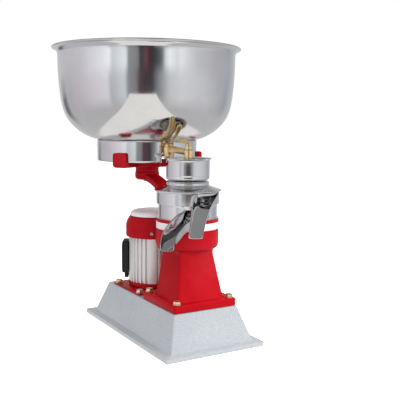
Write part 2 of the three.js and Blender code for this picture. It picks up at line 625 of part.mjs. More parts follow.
function makeTap() {
  const plugY = TANK_Y - TAP.plug;
  const nozzleY = TANK_Y - TAP.nozzle;
  const inletY = TANK_Y - TAP.inlet;
  const barrel = turned([[0, 361], [9, 361], [10, 364], [10, 382], [9, 384.5], [0, 384.5]], plugY, 20);
  const pipe = barY(6.6, plugY, inletY, 0, TAP.z);
  const elbow = turned([
    [0, 368.4], [6.6, 368.4], [6.6, 386], [13, 386], [13, TANK.floor - GAP], [0, TANK.floor - GAP],
  ], inletY, 20);
  const outlet = bentRod([
    [plugY - 6, 375, 6, 6], [plugY - 15, 375, 5.8, 5.8], [plugY - 19, 375, 7.2, 7.2],
    [plugY - 24, 375, 7.2, 7.2], [nozzleY + 20, 373.4, 6.4, 6.2], [nozzleY, 371, 6, 5.8],
  ], 14);
  const nozzle = turned([
    [0, 358], [7.8, 358], [8.3, 359], [8.3, 377], [6.4, 379], [6.4, 386], [0, 386],
  ], nozzleY, 20);
  const bores = [
    rod(5 + 1.3, 355, 392, 0, plugY, 24),
    barY(3.6, plugY, inletY + 3, 0, TAP.z, 16),
    rod(4, TAP.z, 395, 0, inletY, 16),
    bentRod([[plugY, 375, 3.4, 3.4], [nozzleY + 20, 373.4, 3.4, 3.4], [nozzleY, 371, 3.4, 3.4]], 10),
    rod(5, 350, 374, 0, nozzleY, 20),
  ];
  addTapPiece('tap_body', cut(join(barrel, pipe, elbow, outlet, nozzle), ...bores), 'brass');

  const plug = turned([
    [0, 356], [3, 356], [3, 360], [6, 361.2], [6, 384.8], [7, 384.8], [7, 385.5], [0, 385.5],
  ], plugY, 24);
  const port = barY(3.2, plugY - 12, plugY + 12, 0, TAP.z, 16);
  const lever = bentRod([
    [plugY + 5.5, 388.2, 4, 1.4], [plugY + 4, 388.2, 5.2, 2.1], [plugY - 4, 388.2, 5, 2.1],
    [plugY - 12, 389.4, 3.6, 2.2], [plugY - 20, 393, 3.1, 2.3], [plugY - 28, 398.4, 3.1, 2.4],
    [plugY - 35, 403.8, 3.3, 2.4], [plugY - 41, 408.6, 4, 2.4], [plugY - 46, 413.4, 5.2, 2.4],
    [plugY - 50, 418.2, 6, 2.3], [plugY - 53, 422.4, 5.6, 2.1], [plugY - 54.6, 425, 3, 1.4],
  ], 12);
  addTapPiece('tap_plug', cut(join(plug, rod(2.2, 384, 388.8, 0, plugY, 12)), port), 'brass');
  addTapPiece('tap_lever', cut(lever, rod(2.4, 380, 400, 0, plugY, 16)), 'brass');
  const nut = cut(rod(7, 356.2, 359.7, 0, plugY, 6), rod(3 + GAP, 350, 365, 0, plugY, 16));
  addTapPiece('tap_nut', nut, 'brass');

  const stem = turned([
    [0, 386.3], [6.4, 386.3], [6.4, 389], [5, 390.5], [0, 390.5],
  ], nozzleY, 24);
  const wingPath = [];
  for (let i = 0; i <= 12; i += 1) {
    const t = i / 12;
    const rise = Math.sin(Math.PI * (0.06 + 0.88 * t));
    wingPath.push([nozzleY - 7 + 62 * t, 389.3 + 4.6 * rise, 3.4, 0.8 + 3.9 * rise]);
  }
  addTapPiece('nozzle_cap', join(stem, bentRod(wingPath, 10)), 'brass');
  addTapPiece('tank_nut', cut(
    rod(10, TANK.floor + TANK.sheet + GAP, TANK.floor + TANK.sheet + 5, 0, inletY, 6),
    rod(4.6, 385, 405, 0, inletY, 16),
  ), 'brass');
}

// ---------- motor and drive ----------

function finOutline() {
  const points = [];
  const count = 32;
  for (let i = 0; i < count; i += 1) {
    const centre = (360 * (i + 0.5)) / count;
    const isPad = i % 8 === 7 || i % 8 === 0;
    const halfWidth = isPad ? 180 / count : 2.4;
    const { root, fins: tip } = MOTOR;
    const section = [[root, -halfWidth], [tip, -halfWidth], [tip, halfWidth], [root, halfWidth]];
    for (const [r, a] of section) {
      const joined = isPad && r === root && ((i % 8 === 7) === (a > 0));
      if (!joined) points.push([r * Math.cos(rad(centre + a)), r * Math.sin(rad(centre + a))]);
    }
  }
  return points;
}

function makeMotor() {
  const plate = loft([
    level(roundedRect(PLATE.halfX, PLATE.halfY, 5, MOTOR_Y), PLATE.z0),
    level(roundedRect(PLATE.halfX, PLATE.halfY, 5, MOTOR_Y), PLATE.z1),
  ]);
  const shaftHole = rod(18, 70, 85, 0, MOTOR_Y);
  add('motor_plate', cut(plate, shaftHole, ...boltHoles(plateBolts, 70, 85)), 'enamel');

  add('lower_end_shield', turned([
    [12, 78.6], [46, 78.6], [50, 81], [50, 90], [24, 90], [24, 98], [BEARING_RADIUS + GAP, 98],
    [BEARING_RADIUS + GAP, 84], [12, 84],
  ], MOTOR_Y, 32), 'enamel');

  const fins = prism(finOutline(), MOTOR.z0, MOTOR.z1).rotate([0, 0, MOTOR.turn]).translate([0, MOTOR_Y, 0]);
  add('motor_housing', cut(fins, rod(MOTOR.bore, 80, 200, 0, MOTOR_Y, 32)), 'aluminium');

  add('upper_end_shield', turned([
    [MOTOR.bore, SHIELD.z0], [SHIELD.radius, SHIELD.z0], [SHIELD.radius, 218], [SHIELD.shoulder, SHIELD.z1],
    [10, SHIELD.z1], [10, 226], [BEARING_RADIUS + GAP, 226], [BEARING_RADIUS + GAP, 212], [22, 212],
    [22, 225], [47, 225], [54, 215], [54, 190], [MOTOR.bore, 190],
  ], MOTOR_Y, 32), 'enamel');

  const cap = turned([
    [0, 243.6], [0, 242], [36, 242], [46, 237.6], [48.2, 231.3],
    [50, 231.3], [48.4, 238], [42, 242.6], [32, 243.6],
  ].reverse(), MOTOR_Y, 32);
  add('fan_cap', cap, 'cap');

  for (let i = 0; i < 3; i += 1) {
    const head = rod(3.6, SHIELD.radius + 0.2, SHIELD.radius + 2.6, 0, 0, 16);
    const slot = block(-0.6, 0.6, -5, 5, SHIELD.radius + 1.8, SHIELD.radius + 4);
    const screw = cut(head, slot).rotate([0, 90, 0]).rotate([0, 0, 120 * i]);
    add(`cover_screw_${i + 1}`, screw.translate([0, MOTOR_Y, 199]), 'ground');
  }

  makeMotorInside();
  makeTerminalBox();
}

function makeMotorInside() {
  add('motor_shaft', turned([
    [0, 30], [SHAFT_RADIUS, 30], [SHAFT_RADIUS, 236], [0, 236],
  ], MOTOR_Y, 20), 'ground');
  bearing('motor_bearing_low', MOTOR_Y, SHAFT_RADIUS, BEARING_RADIUS, 85, 96);
  bearing('motor_bearing_high', MOTOR_Y, SHAFT_RADIUS, BEARING_RADIUS, 214, 225);
  add('rotor_core', ring(26, SHAFT_RADIUS + 0.2, 108, 178, MOTOR_Y, 20), 'ground');
  add('stator_core', turned([
    [27, 112], [36, 104], [40, 104], [MOTOR.bore - GAP, 114], [MOTOR.bore - GAP, 172],
    [40, 182], [36, 182], [27, 174],
  ], MOTOR_Y, 32), 'copper');

  const blades = [ring(14, SHAFT_RADIUS + 0.2, 232, 236.5, MOTOR_Y, 20)];
  for (let i = 0; i < 7; i += 1) {
    const blade = block(12, 40, -0.9, 0.9, 232, 238).rotate([0, 0, (360 * i) / 7]);
    blades.push(blade.translate([0, MOTOR_Y, 0]));
  }
  add('cooling_fan', join(...blades), 'black');
  pulley('drive_pulley', MOTOR_Y, SHAFT_RADIUS + 0.2, DRIVE_PULLEY);
}

function makeTerminalBox() {
  const place = (piece) => piece.rotate([0, 0, MOTOR.turn + 90]).translate([0, MOTOR_Y, 0]);
  const box = block(MOTOR.fins + GAP, 62, -22, 22, 108, 176);
  const hollow = block(55.5, 64, -19.5, 19.5, 111, 173);
  const neck = block(MOTOR.fins + GAP, 62, -9, 9, 98, 110);
  const neckBore = rod(2.6, 95, 112, 58.2, 0, 12);
  add('terminal_box', place(cut(join(box, neck), hollow, neckBore)), 'black');
  const cover = loft([
    [[62.3, -22, 108], [62.3, 22, 108], [62.3, 22, 176], [62.3, -22, 176]],
    [[65, -22, 108], [65, 22, 108], [65, 22, 176], [65, -22, 176]],
    [[67.5, -18, 116], [67.5, 18, 116], [67.5, 18, 168], [67.5, -18, 168]],
  ]);
  add('terminal_cover', place(cover), 'black');
  add('cable_gland', place(cut(rod(4.6, 94, 97.7, 58.2, 0, 6), rod(2.6, 90, 100, 58.2, 0, 12))), 'black');
}

function makeBelt() {
  const outline = (offset) => {
    const points = [];
    const gap = MOTOR_Y - HEAD_Y;
    const lean = Math.asin((DRIVE_PULLEY - SPINDLE_PULLEY) / gap);
    for (let i = 0; i <= 24; i += 1) {
      const a = -lean + ((Math.PI + 2 * lean) * i) / 24;
      const r = DRIVE_PULLEY + offset;
      points.push([r * Math.cos(a), MOTOR_Y + r * Math.sin(a)]);
    }
    for (let i = 0; i <= 16; i += 1) {
      const a = Math.PI + lean + ((Math.PI - 2 * lean) * i) / 16;
      const r = SPINDLE_PULLEY + offset;
      points.push([r * Math.cos(a), HEAD_Y + r * Math.sin(a)]);
    }
    return points;
  };
  const outside = prism(outline(GAP + BELT.thickness), BELT.z0, BELT.z1);
  const inside = prism(outline(GAP), BELT.z0 - 1, BELT.z1 + 1);
  add('drive_belt', cut(outside, inside), 'rubber');
}

// ---------- assembly ----------

makeBase();
makeFrame();
makeBolts();
makeBracket();
makeSpindle();
makeBowl();
makeCovers();
makeTank();
makeTap();
makeMotor();
makeBelt();

export default product;
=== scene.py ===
import json
import math
import random

import bmesh
import bpy
from mathutils import Matrix, Vector


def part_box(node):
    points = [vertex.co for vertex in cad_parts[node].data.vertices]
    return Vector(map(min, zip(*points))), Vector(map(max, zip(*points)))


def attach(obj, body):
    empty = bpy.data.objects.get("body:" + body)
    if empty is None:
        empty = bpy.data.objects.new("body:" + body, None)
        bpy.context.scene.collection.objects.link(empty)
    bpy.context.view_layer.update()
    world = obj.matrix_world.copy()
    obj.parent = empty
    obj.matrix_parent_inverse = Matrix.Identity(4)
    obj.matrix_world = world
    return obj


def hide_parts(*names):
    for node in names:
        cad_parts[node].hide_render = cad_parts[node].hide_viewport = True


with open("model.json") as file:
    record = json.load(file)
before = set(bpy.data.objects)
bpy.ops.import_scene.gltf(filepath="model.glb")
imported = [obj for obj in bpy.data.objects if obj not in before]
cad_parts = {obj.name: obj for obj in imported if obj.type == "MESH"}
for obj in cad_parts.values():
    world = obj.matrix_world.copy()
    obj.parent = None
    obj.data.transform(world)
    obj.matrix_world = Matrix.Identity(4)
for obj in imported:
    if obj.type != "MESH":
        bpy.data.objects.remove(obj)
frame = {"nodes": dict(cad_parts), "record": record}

BEHAVIOUR = frame["record"]["behaviour"]
BODY_OF = {node: body for body, nodes in BEHAVIOUR["bodies"].items() for node in nodes}
SLOT_OF = {part["node"]: part["material_slot"] for part in frame["record"]["subparts"]}

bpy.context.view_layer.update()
scene = bpy.context.scene
scene.view_settings.view_transform = "Standard"
rnd = random.Random(7)

# Lengths are in millimetres in the frame's axes unless they are said to be in metres.
# Pieces are scaled to metres when they are made.
MM = 0.001


def span(node):
    low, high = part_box(node)
    return [v / MM for v in low], [v / MM for v in high]


def centre(node):
    low, high = span(node)
    return [(a + b) / 2 for a, b in zip(low, high)]


def foot(node):
    return span(node)[0][2]


def top(node):
    return span(node)[1][2]


def half_size(node):
    """Half the size of a node's box along X and along Y."""
    low, high = span(node)
    return (high[0] - low[0]) / 2, (high[1] - low[1]) / 2


def joint_axis(name):
    """Where a joint with an upright axis stands in plan."""
    x, y, _ = next(joint for joint in BEHAVIOUR["joints"] if joint["name"] == name)["pos_m"]
    return x / MM, y / MM


HEAD = centre("cover_lid")[:2]
TANK = centre("milk_tank")[:2]
MOTOR = centre("fan_cap")[:2]
SPOUT_TURN = math.radians(-30.8)
TERMINAL_TURN = 150  # degrees round the motor
SHEET = 1.2
HEX_POINTS = 48

# The camera, in metres and radians. The studio's panels are placed round its azimuth.
CAMERA_AT = (-0.6596, -1.2823, 0.4335)
AZIMUTH = math.radians(-30.85)
PITCH = math.radians(-6.67)
ROLL = math.radians(0.5)
LENS = 61.37
SENSOR = 36
RIGHT = Vector((math.cos(AZIMUTH), math.sin(AZIMUTH), 0))
NEARER = Vector((math.sin(AZIMUTH), -math.cos(AZIMUTH), 0))


# ---------- shaping ----------

def spline(points, steps=6):
    """A Catmull-Rom curve through points of any dimension."""
    out = []
    last = len(points) - 1
    for i in range(last):
        p0, p1 = points[max(i - 1, 0)], points[i]
        p2, p3 = points[i + 1], points[min(i + 2, last)]
        for k in range(steps):
            t = k / steps
            out.append(tuple(
                0.5 * (2 * b + (c - a) * t + (2 * a - 5 * b + 4 * c - d) * t * t
                       + (3 * b - a - 3 * c + d) * t ** 3)
                for a, b, c, d in zip(p0, p1, p2, p3)))
    out.append(tuple(points[-1]))
    return out


def rounded(points, closed=False, steps=4):
    """A profile of (radius, z[, corner size]) with its sized corners eased into arcs."""
    out = []
    n = len(points)
    for i, point in enumerate(points):
        size = point[2] if len(point) > 2 else 0
        if size <= 0 or (not closed and i in (0, n - 1)):
            out.append((point[0], point[1]))
            continue
        here = Vector(point[:2])
        back = Vector(points[i - 1][:2]) - here
        on = Vector(points[(i + 1) % n][:2]) - here
        a = here + back.normalized() * min(size, back.length * 0.48)
        b = here + on.normalized() * min(size, on.length * 0.48)
        for k in range(steps + 1):
            t = k / steps
            p = a * (1 - t) ** 2 + here * 2 * t * (1 - t) + b * t * t
            out.append((p.x, p.y))
    return out


def lathe(profile, axis, segments=96, closed=False, keep=None):
    """A surface of revolution about a vertical axis. keep(angle, z) says which faces stay."""
    verts, faces, rings = [], [], []
    for r, z in profile:
        if r < 1e-6:
            rings.append([len(verts)])
            verts.append((axis[0], axis[1], z))
            continue
        rings.append(range(len(verts), len(verts) + segments))
        for k in range(segments):
            a = 2 * math.pi * k / segments
            verts.append((axis[0] + r * math.cos(a), axis[1] + r * math.sin(a), z))
    pairs = list(zip(rings, rings[1:]))
    if closed:
        pairs.append((rings[-1], rings[0]))
    for low, high in pairs:
        if len(low) == len(high) == 1:
            continue
        for k in range(segments):
            n = (k + 1) % segments
            middle = (verts[low[0]][2] + verts[high[0]][2]) / 2
            if keep and not keep(2 * math.pi * (k + 0.5) / segments, middle):
                continue
            if len(low) == 1:
                faces.append((low[0], high[n], high[k]))
            elif len(high) == 1:
                faces.append((low[k], low[n], high[0]))
            else:
                faces.append((low[k], low[n], high[n], high[k]))
    return verts, faces


def spun(profile, axis, segments=96, closed=False, steps=4):
    """A surface of revolution from a profile with eased corners."""
    return lathe(rounded(profile, closed, steps), axis, segments, closed)


def skin(loops, caps=True):
    """A surface through closed loops with equal point counts."""
    count = len(loops[0])
    verts = [p for loop in loops for p in loop]
    faces = []
    for s in range(len(loops) - 1):
        for i in range(count):
            j = (i + 1) % count
            low, high = s * count, (s + 1) * count
            faces.append((low + i, low + j, high + j, high + i))
    if caps:
        faces.append(tuple(range(count))[::-1])
        faces.append(tuple((len(loops) - 1) * count + i for i in range(count)))
    return verts, faces


def rounded_rect(half_x, half_y, radius, at=(0, 0), steps=6):
    points = []
    for sx, sy, start in ((1, 1, 0), (-1, 1, 90), (-1, -1, 180), (1, -1, 270)):
        for k in range(steps + 1):
            a = math.radians(start + 90 * k / steps)
            points.append((at[0] + sx * (half_x - radius) + radius * math.cos(a),
                           at[1] + sy * (half_y - radius) + radius * math.sin(a)))
    return points


def level(outline, z):
    return [(x, y, z) for x, y in outline]


def slab(half_x, half_y, corner, z0, z1, at, edge):
    """A flat plate with rounded corners and eased edges."""
    loops = []
    for k in range(5):
        a = math.pi / 2 * k / 4
        inset = edge * (1 - math.sin(a))
        loops.append((inset, z0 + edge * (1 - math.cos(a))))
    loops += [(inset, z0 + z1 - z) for inset, z in reversed(loops)]
    rings = []
    for inset, z in loops:
        outline = rounded_rect(half_x - inset, half_y - inset, max(corner - inset, 0.4), at)
        rings.append(level(outline, z))
    return skin(rings)


def along_x(levels, corner, at, steps):
    """A solid out along +X from a point: distance, half width, bottom and top."""
    loops = []
    for x, half_y, z0, z1 in levels:
        section = rounded_rect(half_y, (z1 - z0) / 2, corner, steps=steps)
        loops.append([(at[0] + x, at[1] + a, (z0 + z1) / 2 + b) for a, b in section])
    return skin(loops)


def turned(shape, degrees, about):
    """A shape turned about a vertical axis."""
    verts, faces = shape
    c, s = math.cos(math.radians(degrees)), math.sin(math.radians(degrees))
    out = []
    for x, y, z in verts:
        dx, dy = x - about[0], y - about[1]
        out.append((about[0] + dx * c - dy * s, about[1] + dx * s + dy * c, z))
    return out, faces


def swept(path, origin, heading, sides=20, square=1.0):
    """A rod bent in a vertical plane: path gives distance along heading, z, half width, half height."""
    along = Vector((heading[0], heading[1], 0))
    across = Vector((-heading[1], heading[0], 0))
    loops = []
    for i, (d, z, wide, high) in enumerate(path):
        before, after = path[max(i - 1, 0)], path[min(i + 1, len(path) - 1)]
        t = Vector((after[0] - before[0], after[1] - before[1])).normalized()
        loop = []
        for k in range(sides):
            a = 2 * math.pi * k / sides
            ca = math.copysign(abs(math.cos(a)) ** square, math.cos(a))
            sa = math.copysign(abs(math.sin(a)) ** square, math.sin(a))
            p = Vector((origin[0], origin[1], z)) + along * (d - t.y * high * sa)
            p += across * (wide * ca) + Vector((0, 0, t.x * high * sa))
            loop.append(tuple(p))
        loops.append(loop)
    return skin(loops)


def hex_radius(angle, flat_radius):
    """The distance to a hexagon's outline in that direction."""
    return flat_radius / math.cos((angle + math.pi / 6) % (math.pi / 3) - math.pi / 6)


def hexagon(at, flat_radius, levels):
    """A hexagonal solid. levels gives each ring's share of the size and its z."""
    loops = []
    for share, z in levels:
        loop = []
        for k in range(HEX_POINTS):
            a = 2 * math.pi * k / HEX_POINTS
            r = hex_radius(a, flat_radius * share)
            loop.append((at[0] + r * math.cos(a), at[1] + r * math.sin(a), z))
        loops.append(loop)
    return skin(loops)


def together(*shapes):
    """Several shapes as one."""
    verts, faces = [], []
    for v, f in shapes:
        faces += [tuple(i + len(verts) for i in face) for face in f]
        verts += list(v)
    return verts, faces


# ---------- materials ----------

def feed(tree, value, socket):
    """Links a socket, or sets it to a number or a colour."""
    if isinstance(value, bpy.types.NodeSocket):
        tree.links.new(value, socket)
    elif isinstance(value, (int, float)):
        socket.default_value = value
    else:
        socket.default_value = (*value, 1)


def set_inputs(node, **values):
    """Sets sockets by name, written in small letters with underscores."""
    for key, value in values.items():
        node.inputs[key.replace("_", " ").title().replace("Ior", "IOR")].default_value = value


def mix_colors(tree, factor, a, b):
    node = tree.nodes.new("ShaderNodeMix")
    node.data_type = "RGBA"
    for value, place in ((factor, 0), (a, 6), (b, 7)):
        feed(tree, value, node.inputs[place])
    return node.outputs[2]


def map_range(tree, value, start, end, low=0.0, high=1.0):
    """low at start and high at end, held beyond them."""
    node = tree.nodes.new("ShaderNodeMapRange")
    set_inputs(node, from_min=start, from_max=end, to_min=low, to_max=high)
    feed(tree, value, node.inputs["Value"])
    return node.outputs[0]


def color_ramp(tree, value, stops):
    node = tree.nodes.new("ShaderNodeValToRGB")
    ramp = node.color_ramp
    while len(ramp.elements) < len(stops):
        ramp.elements.new(0.5)
    for element, (position, color) in zip(ramp.elements, stops):
        element.position = position
        element.color = (*color, 1)
    feed(tree, value, node.inputs[0])
    return node.outputs[0]


def toned(color, tone):
    return tuple(part * tone for part in color)


class Paint:
    """A Principled material with helpers for its procedural detail, in object coordinates."""

    def __init__(self, name, **sockets):
        self.material = bpy.data.materials.new(name)
        self.material.use_nodes = True
        self.tree = self.material.node_tree
        self.tree.nodes.clear()
        out = self.tree.nodes.new("ShaderNodeOutputMaterial")
        self.shader = self.tree.nodes.new("ShaderNodeBsdfPrincipled")
        self.link(self.shader.outputs[0], out.inputs[0])
        self.coord = self.tree.nodes.new("ShaderNodeTexCoord")
        set_inputs(self.shader, **sockets)
        self.height = None

    def link(self, a, b):
        self.tree.links.new(a, b)

    def place(self, stretch):
        node = self.tree.nodes.new("ShaderNodeMapping")
        set_inputs(node, scale=stretch)
        self.link(self.coord.outputs["Object"], node.inputs["Vector"])
        return node.outputs[0]

    def noise(self, scale, detail=3.0, roughness=0.55, stretch=(1, 1, 1), distortion=0.0):
        node = self.tree.nodes.new("ShaderNodeTexNoise")
        set_inputs(node, scale=scale, detail=detail, roughness=roughness, distortion=distortion)
        self.link(self.place(stretch), node.inputs["Vector"])
        return node.outputs["Fac"]

    def cells(self, scale, feature="F1"):
        node = self.tree.nodes.new("ShaderNodeTexVoronoi")
        node.feature = feature
        set_inputs(node, scale=scale)
        self.link(self.place((1, 1, 1)), node.inputs["Vector"])
        return node.outputs["Distance"]

    def ramp(self, value, stops):
        return color_ramp(self.tree, value, stops)

    def ranged(self, value, low, high, start=0.3, end=0.7):
        return map_range(self.tree, value, start, end, low, high)

    def mixed(self, factor, a, b):
        return mix_colors(self.tree, factor, a, b)

    def color(self, value):
        self.link(value, self.shader.inputs["Base Color"])

    def rough(self, value):
        self.link(value, self.shader.inputs["Roughness"])

    def bump(self, value, depth, strength=1.0):
        """Adds relief of that depth in millimetres on top of what is there."""
        node = self.tree.nodes.new("ShaderNodeBump")
        set_inputs(node, strength=strength, distance=depth * MM)
        self.link(value, node.inputs["Height"])
        if self.height:
            self.link(self.height, node.inputs["Normal"])
        self.height = node.outputs[0]
        self.link(self.height, self.shader.inputs["Normal"])


def stainless_paint(name="stainless", dull_below=None, dents=0.0, tone=1.0):
    """Polished sheet. It may be duller under a height in metres, dented, or darker all over, which is painted
    shade.
    """
    p = Paint(name, metallic=1.0)
    smear = p.noise(9, 5, 0.6)
    lines = p.noise(60, 2, 0.5, (0.15, 0.15, 14))
    light = toned((0.80, 0.80, 0.81), tone)
    grey = toned((0.70, 0.70, 0.715), tone)
    p.color(p.mixed(p.ranged(smear, 0, 1), light, grey))
    shine = p.ranged(p.noise(24, 6, 0.65), 0.05, 0.12)
    if dull_below:
        split = p.tree.nodes.new("ShaderNodeSeparateXYZ")
        p.link(p.coord.outputs["Object"], split.inputs[0])
        dull = p.ranged(p.noise(30, 4), 0.17, 0.26)
        lower = p.ranged(split.outputs["Z"], 1, 0, dull_below - 0.03, dull_below + 0.01)
        shine = p.mixed(lower, shine, dull)
    p.rough(shine)
    p.bump(lines, 0.006, 0.35)
    p.bump(p.noise(5, 2), 0.35, 0.12)
    if dents:
        p.bump(p.noise(55, 2, 0.4), dents, 0.6)
    return p.material


def enamel_paint():
    p = Paint("red_enamel", metallic=0.0, coat_weight=0.03, coat_roughness=0.1, specular_ior_level=0.05)
    base = p.ramp(p.noise(14, 4, 0.6), [(0.25, (0.41, 0.003, 0.008)), (0.75, (0.51, 0.006, 0.013))])
    # Pale pink blotches mixed into the red are a painted highlight, standing in for the soft gloss of the key
    # light.
    highlight_blotches = p.ranged(p.noise(9, 3, 0.6), 0, 0.6, 0.48, 0.7)
    specks = p.ranged(p.noise(420, 2, 0.5), 0, 0.12, 0.62, 0.72)
    with_painted_highlight = p.mixed(highlight_blotches, base, (0.54, 0.024, 0.034))
    p.color(p.mixed(specks, with_painted_highlight, (0.62, 0.03, 0.04)))
    p.rough(p.ranged(p.noise(60, 4), 0.26, 0.42))
    p.bump(p.noise(180, 2), 0.05, 0.22)
    p.bump(p.noise(38, 2), 0.35, 0.16)
    return p.material


def hammertone_paint():
    p = Paint("hammertone", metallic=0.35, coat_weight=0.25, coat_roughness=0.2)
    base = p.ramp(p.noise(11, 4, 0.6), [(0.2, (0.55, 0.585, 0.62)), (0.8, (0.66, 0.69, 0.72))])
    veins = p.ranged(p.cells(240, "DISTANCE_TO_EDGE"), 0.5, 0.0, 0.0, 0.25)
    glints = p.ranged(p.noise(620, 2), 0, 0.5, 0.56, 0.70)
    veined = p.mixed(veins, base, (0.44, 0.465, 0.49))
    p.color(p.mixed(glints, veined, (0.85, 0.87, 0.89)))
    p.rough(p.ranged(p.noise(140, 3), 0.34, 0.52))
    p.bump(p.cells(330), 0.5, 0.45)
    p.bump(p.noise(700, 2), 0.1, 0.45)
    return p.material


def label_paint():
    p = Paint("white_band", metallic=0.0)
    p.color(p.ramp(p.noise(30, 4), [(0.2, (0.83, 0.82, 0.81)), (0.8, (0.9, 0.895, 0.89))]))
    p.rough(p.ranged(p.noise(90, 3), 0.3, 0.46))
    p.bump(p.noise(300, 2), 0.03, 0.2)
    return p.material


def zinc_paint():
    p = Paint("yellow_zinc", metallic=1.0)
    film = p.noise(130, 3, 0.6, distortion=0.6)
    p.color(p.ramp(film, [
        (0.25, (0.70, 0.58, 0.34)), (0.45, (0.84, 0.74, 0.52)),
        (0.6, (0.82, 0.68, 0.54)), (0.8, (0.74, 0.75, 0.56)),
    ]))
    p.rough(p.ranged(p.noise(260, 3), 0.2, 0.38))
    p.bump(p.noise(900, 2), 0.03, 0.4)
    return p.material


def ground_paint():
    p = Paint("ground_steel", metallic=1.0)
    p.color(p.ramp(p.noise(80, 4), [(0.2, (0.42, 0.42, 0.43)), (0.8, (0.58, 0.58, 0.58))]))
    p.rough(p.ranged(p.noise(200, 3, 0.5, (1, 1, 8)), 0.2, 0.42))
    p.bump(p.noise(500, 2, 0.5, (0.3, 0.3, 6)), 0.02, 0.5)
    return p.material


def brass_paint(name="brass", tone=1.0):
    p = Paint(name, metallic=1.0)
    tarnish = p.noise(60, 3, 0.5)
    p.color(p.ramp(tarnish, [
        (0.25, toned((0.80, 0.54, 0.24), tone)),
        (0.5, toned((0.93, 0.70, 0.37), tone)),
        (0.75, toned((1.0, 0.84, 0.52), tone)),
    ]))
    p.rough(p.ranged(p.noise(120, 3), 0.29, 0.36))
    p.bump(p.noise(300, 2), 0.006, 0.2)
    p.bump(p.noise(45, 2), 0.04, 0.05)
    return p.material


def aluminium_paint():
    p = Paint("extruded_aluminium", metallic=0.55)
    die_lines = p.noise(420, 2, 0.5, (1, 1, 0.012))
    p.color(p.ramp(p.noise(26, 4), [(0.2, (0.80, 0.80, 0.79)), (0.8, (0.90, 0.90, 0.89))]))
    p.rough(p.ranged(die_lines, 0.36, 0.56))
    p.bump(die_lines, 0.06, 0.4)
    p.bump(p.noise(600, 2), 0.03, 0.4)
    return p.material


def plastic_paint(name, low, high, roughness, grain):
    p = Paint(name, metallic=0.0)
    p.color(p.ramp(p.noise(34, 4), [(0.2, low), (0.8, high)]))
    p.rough(p.ranged(p.noise(120, 3), roughness - 0.06, roughness + 0.08))
    p.bump(p.noise(grain, 2), 0.05, 0.35)
    return p.material


def rubber_paint():
    p = Paint("black_rubber", metallic=0.0)
    p.color(p.ramp(p.noise(50, 4), [(0.2, (0.012, 0.012, 0.012)), (0.8, (0.03, 0.03, 0.03))]))
    p.rough(p.ranged(p.noise(200, 3), 0.7, 0.9))
    p.bump(p.noise(900, 2), 0.05, 0.5)
    return p.material


def copper_paint():
    p = Paint("wound_copper", metallic=0.85)
    turns = p.noise(700, 1, 0.5, (1, 1, 0.05))
    p.color(p.ramp(turns, [(0.3, (0.30, 0.11, 0.04)), (0.7, (0.62, 0.28, 0.13))]))
    p.rough(p.ranged(turns, 0.35, 0.55))
    p.bump(turns, 0.2, 0.6)
    return p.material


PAINT = {
    "stainless": stainless_paint(),
    "enamel": enamel_paint(),
    "hammertone": hammertone_paint(),
    "label": label_paint(),
    "zinc": zinc_paint(),
    "ground_steel": ground_paint(),
    "brass": brass_paint(),
    "bare_aluminium": aluminium_paint(),
    "cap_plastic": plastic_paint(
        "cap_plastic", low=(0.93, 0.93, 0.96), high=(0.97, 0.97, 1.0), roughness=0.36, grain=500),
    "black_plastic": plastic_paint(
        "black_plastic", low=(0.008, 0.008, 0.008), high=(0.014, 0.014, 0.013), roughness=0.55, grain=700),
    "rubber": rubber_paint(),
    "copper": copper_paint(),
}

# Other paints for single pieces, in the same slots.
TANK_STEEL = stainless_paint("tank_steel", dull_below=0.43)
# A darker copy of the brass, used for the tap's lever.
DARKER_BRASS = brass_paint("darker_brass", tone=0.68)
CREAM_SPOUT_STEEL = stainless_paint("cream_spout_steel", dents=1.1)
# The skim spout's steel is darker all over: painted shade and painted dark reflection for its walls.
SKIM_SPOUT_SHADED_STEEL = stainless_paint("skim_spout_shaded_steel", dents=0.9, tone=0.74)


def put(name, shape, node, paint=None, sheet=0, flat=34):
    """A piece in metres that stands for a CAD node, rides on its body and has its slot's paint,
    unless another is given. sheet thickens an open surface, and edges over flat degrees stay sharp."""
    verts, faces = shape
    mesh = bpy.data.meshes.new(name)
    mesh.from_pydata([(x * MM, y * MM, z * MM) for x, y, z in verts], [], faces)
    bm = bmesh.new()
    bm.from_mesh(mesh)
    bmesh.ops.remove_doubles(bm, verts=bm.verts, dist=2e-6)
    bmesh.ops.recalc_face_normals(bm, faces=bm.faces)
    bm.to_mesh(mesh)
    bm.free()
    mesh.polygons.foreach_set("use_smooth", [True] * len(mesh.polygons))
    mesh.set_sharp_from_angle(angle=math.radians(flat))
    piece = bpy.data.objects.new(name, mesh)
    scene.collection.objects.link(piece)
    mesh.materials.append(paint or PAINT[SLOT_OF[node]])
    if sheet:
        thick = piece.modifiers.new("sheet", "SOLIDIFY")
        thick.thickness = sheet * MM
        thick.offset = 0
        thick.use_even_offset = True
    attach(piece, BODY_OF[node])
    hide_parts(node)


# ---------- base and frame ----------

def build_base():
    """The hollow stand, from inside its top down to the floor and up the outside."""
    at = centre("base_stand")[:2]
    hx, hy = half_size("base_stand")
    foot_x, foot_y = hx - 16.8, hy - 16.3
    top_x, top_y = hx - 37.3, hy - 42.1
    rings = [
        (top_x - 4, top_y - 4, 2, 69),
        (foot_x - 1.5, foot_y - 1.5, 2, 0),
        (hx - 0.7, hy - 0.7, 2.6, 0),
        (hx, hy, 3, 0.8),
        (hx, hy, 3, 7.4),
        (hx - 0.4, hy - 0.4, 3, 8.3),
        (hx - 1.4, hy - 1.4, 3, 8.7),
        (foot_x + 2.6, foot_y + 2.6, 5, 8.7),
        (foot_x + 1.0, foot_y + 1.2, 4.5, 9.3),
        (foot_x - 0.3, foot_y - 0.1, 4, 11.4),
        (top_x + 0.5, top_y + 0.6, 4, 73.4),
        (top_x - 0.1, top_y - 0.1, 4, 74.6),
        (top_x - 1.2, top_y - 1.2, 4, 75),
    ]
    shape = skin([level(rounded_rect(x, y, r, at), z) for x, y, r, z in rings])
    put("base_shell", shape, "base_stand")


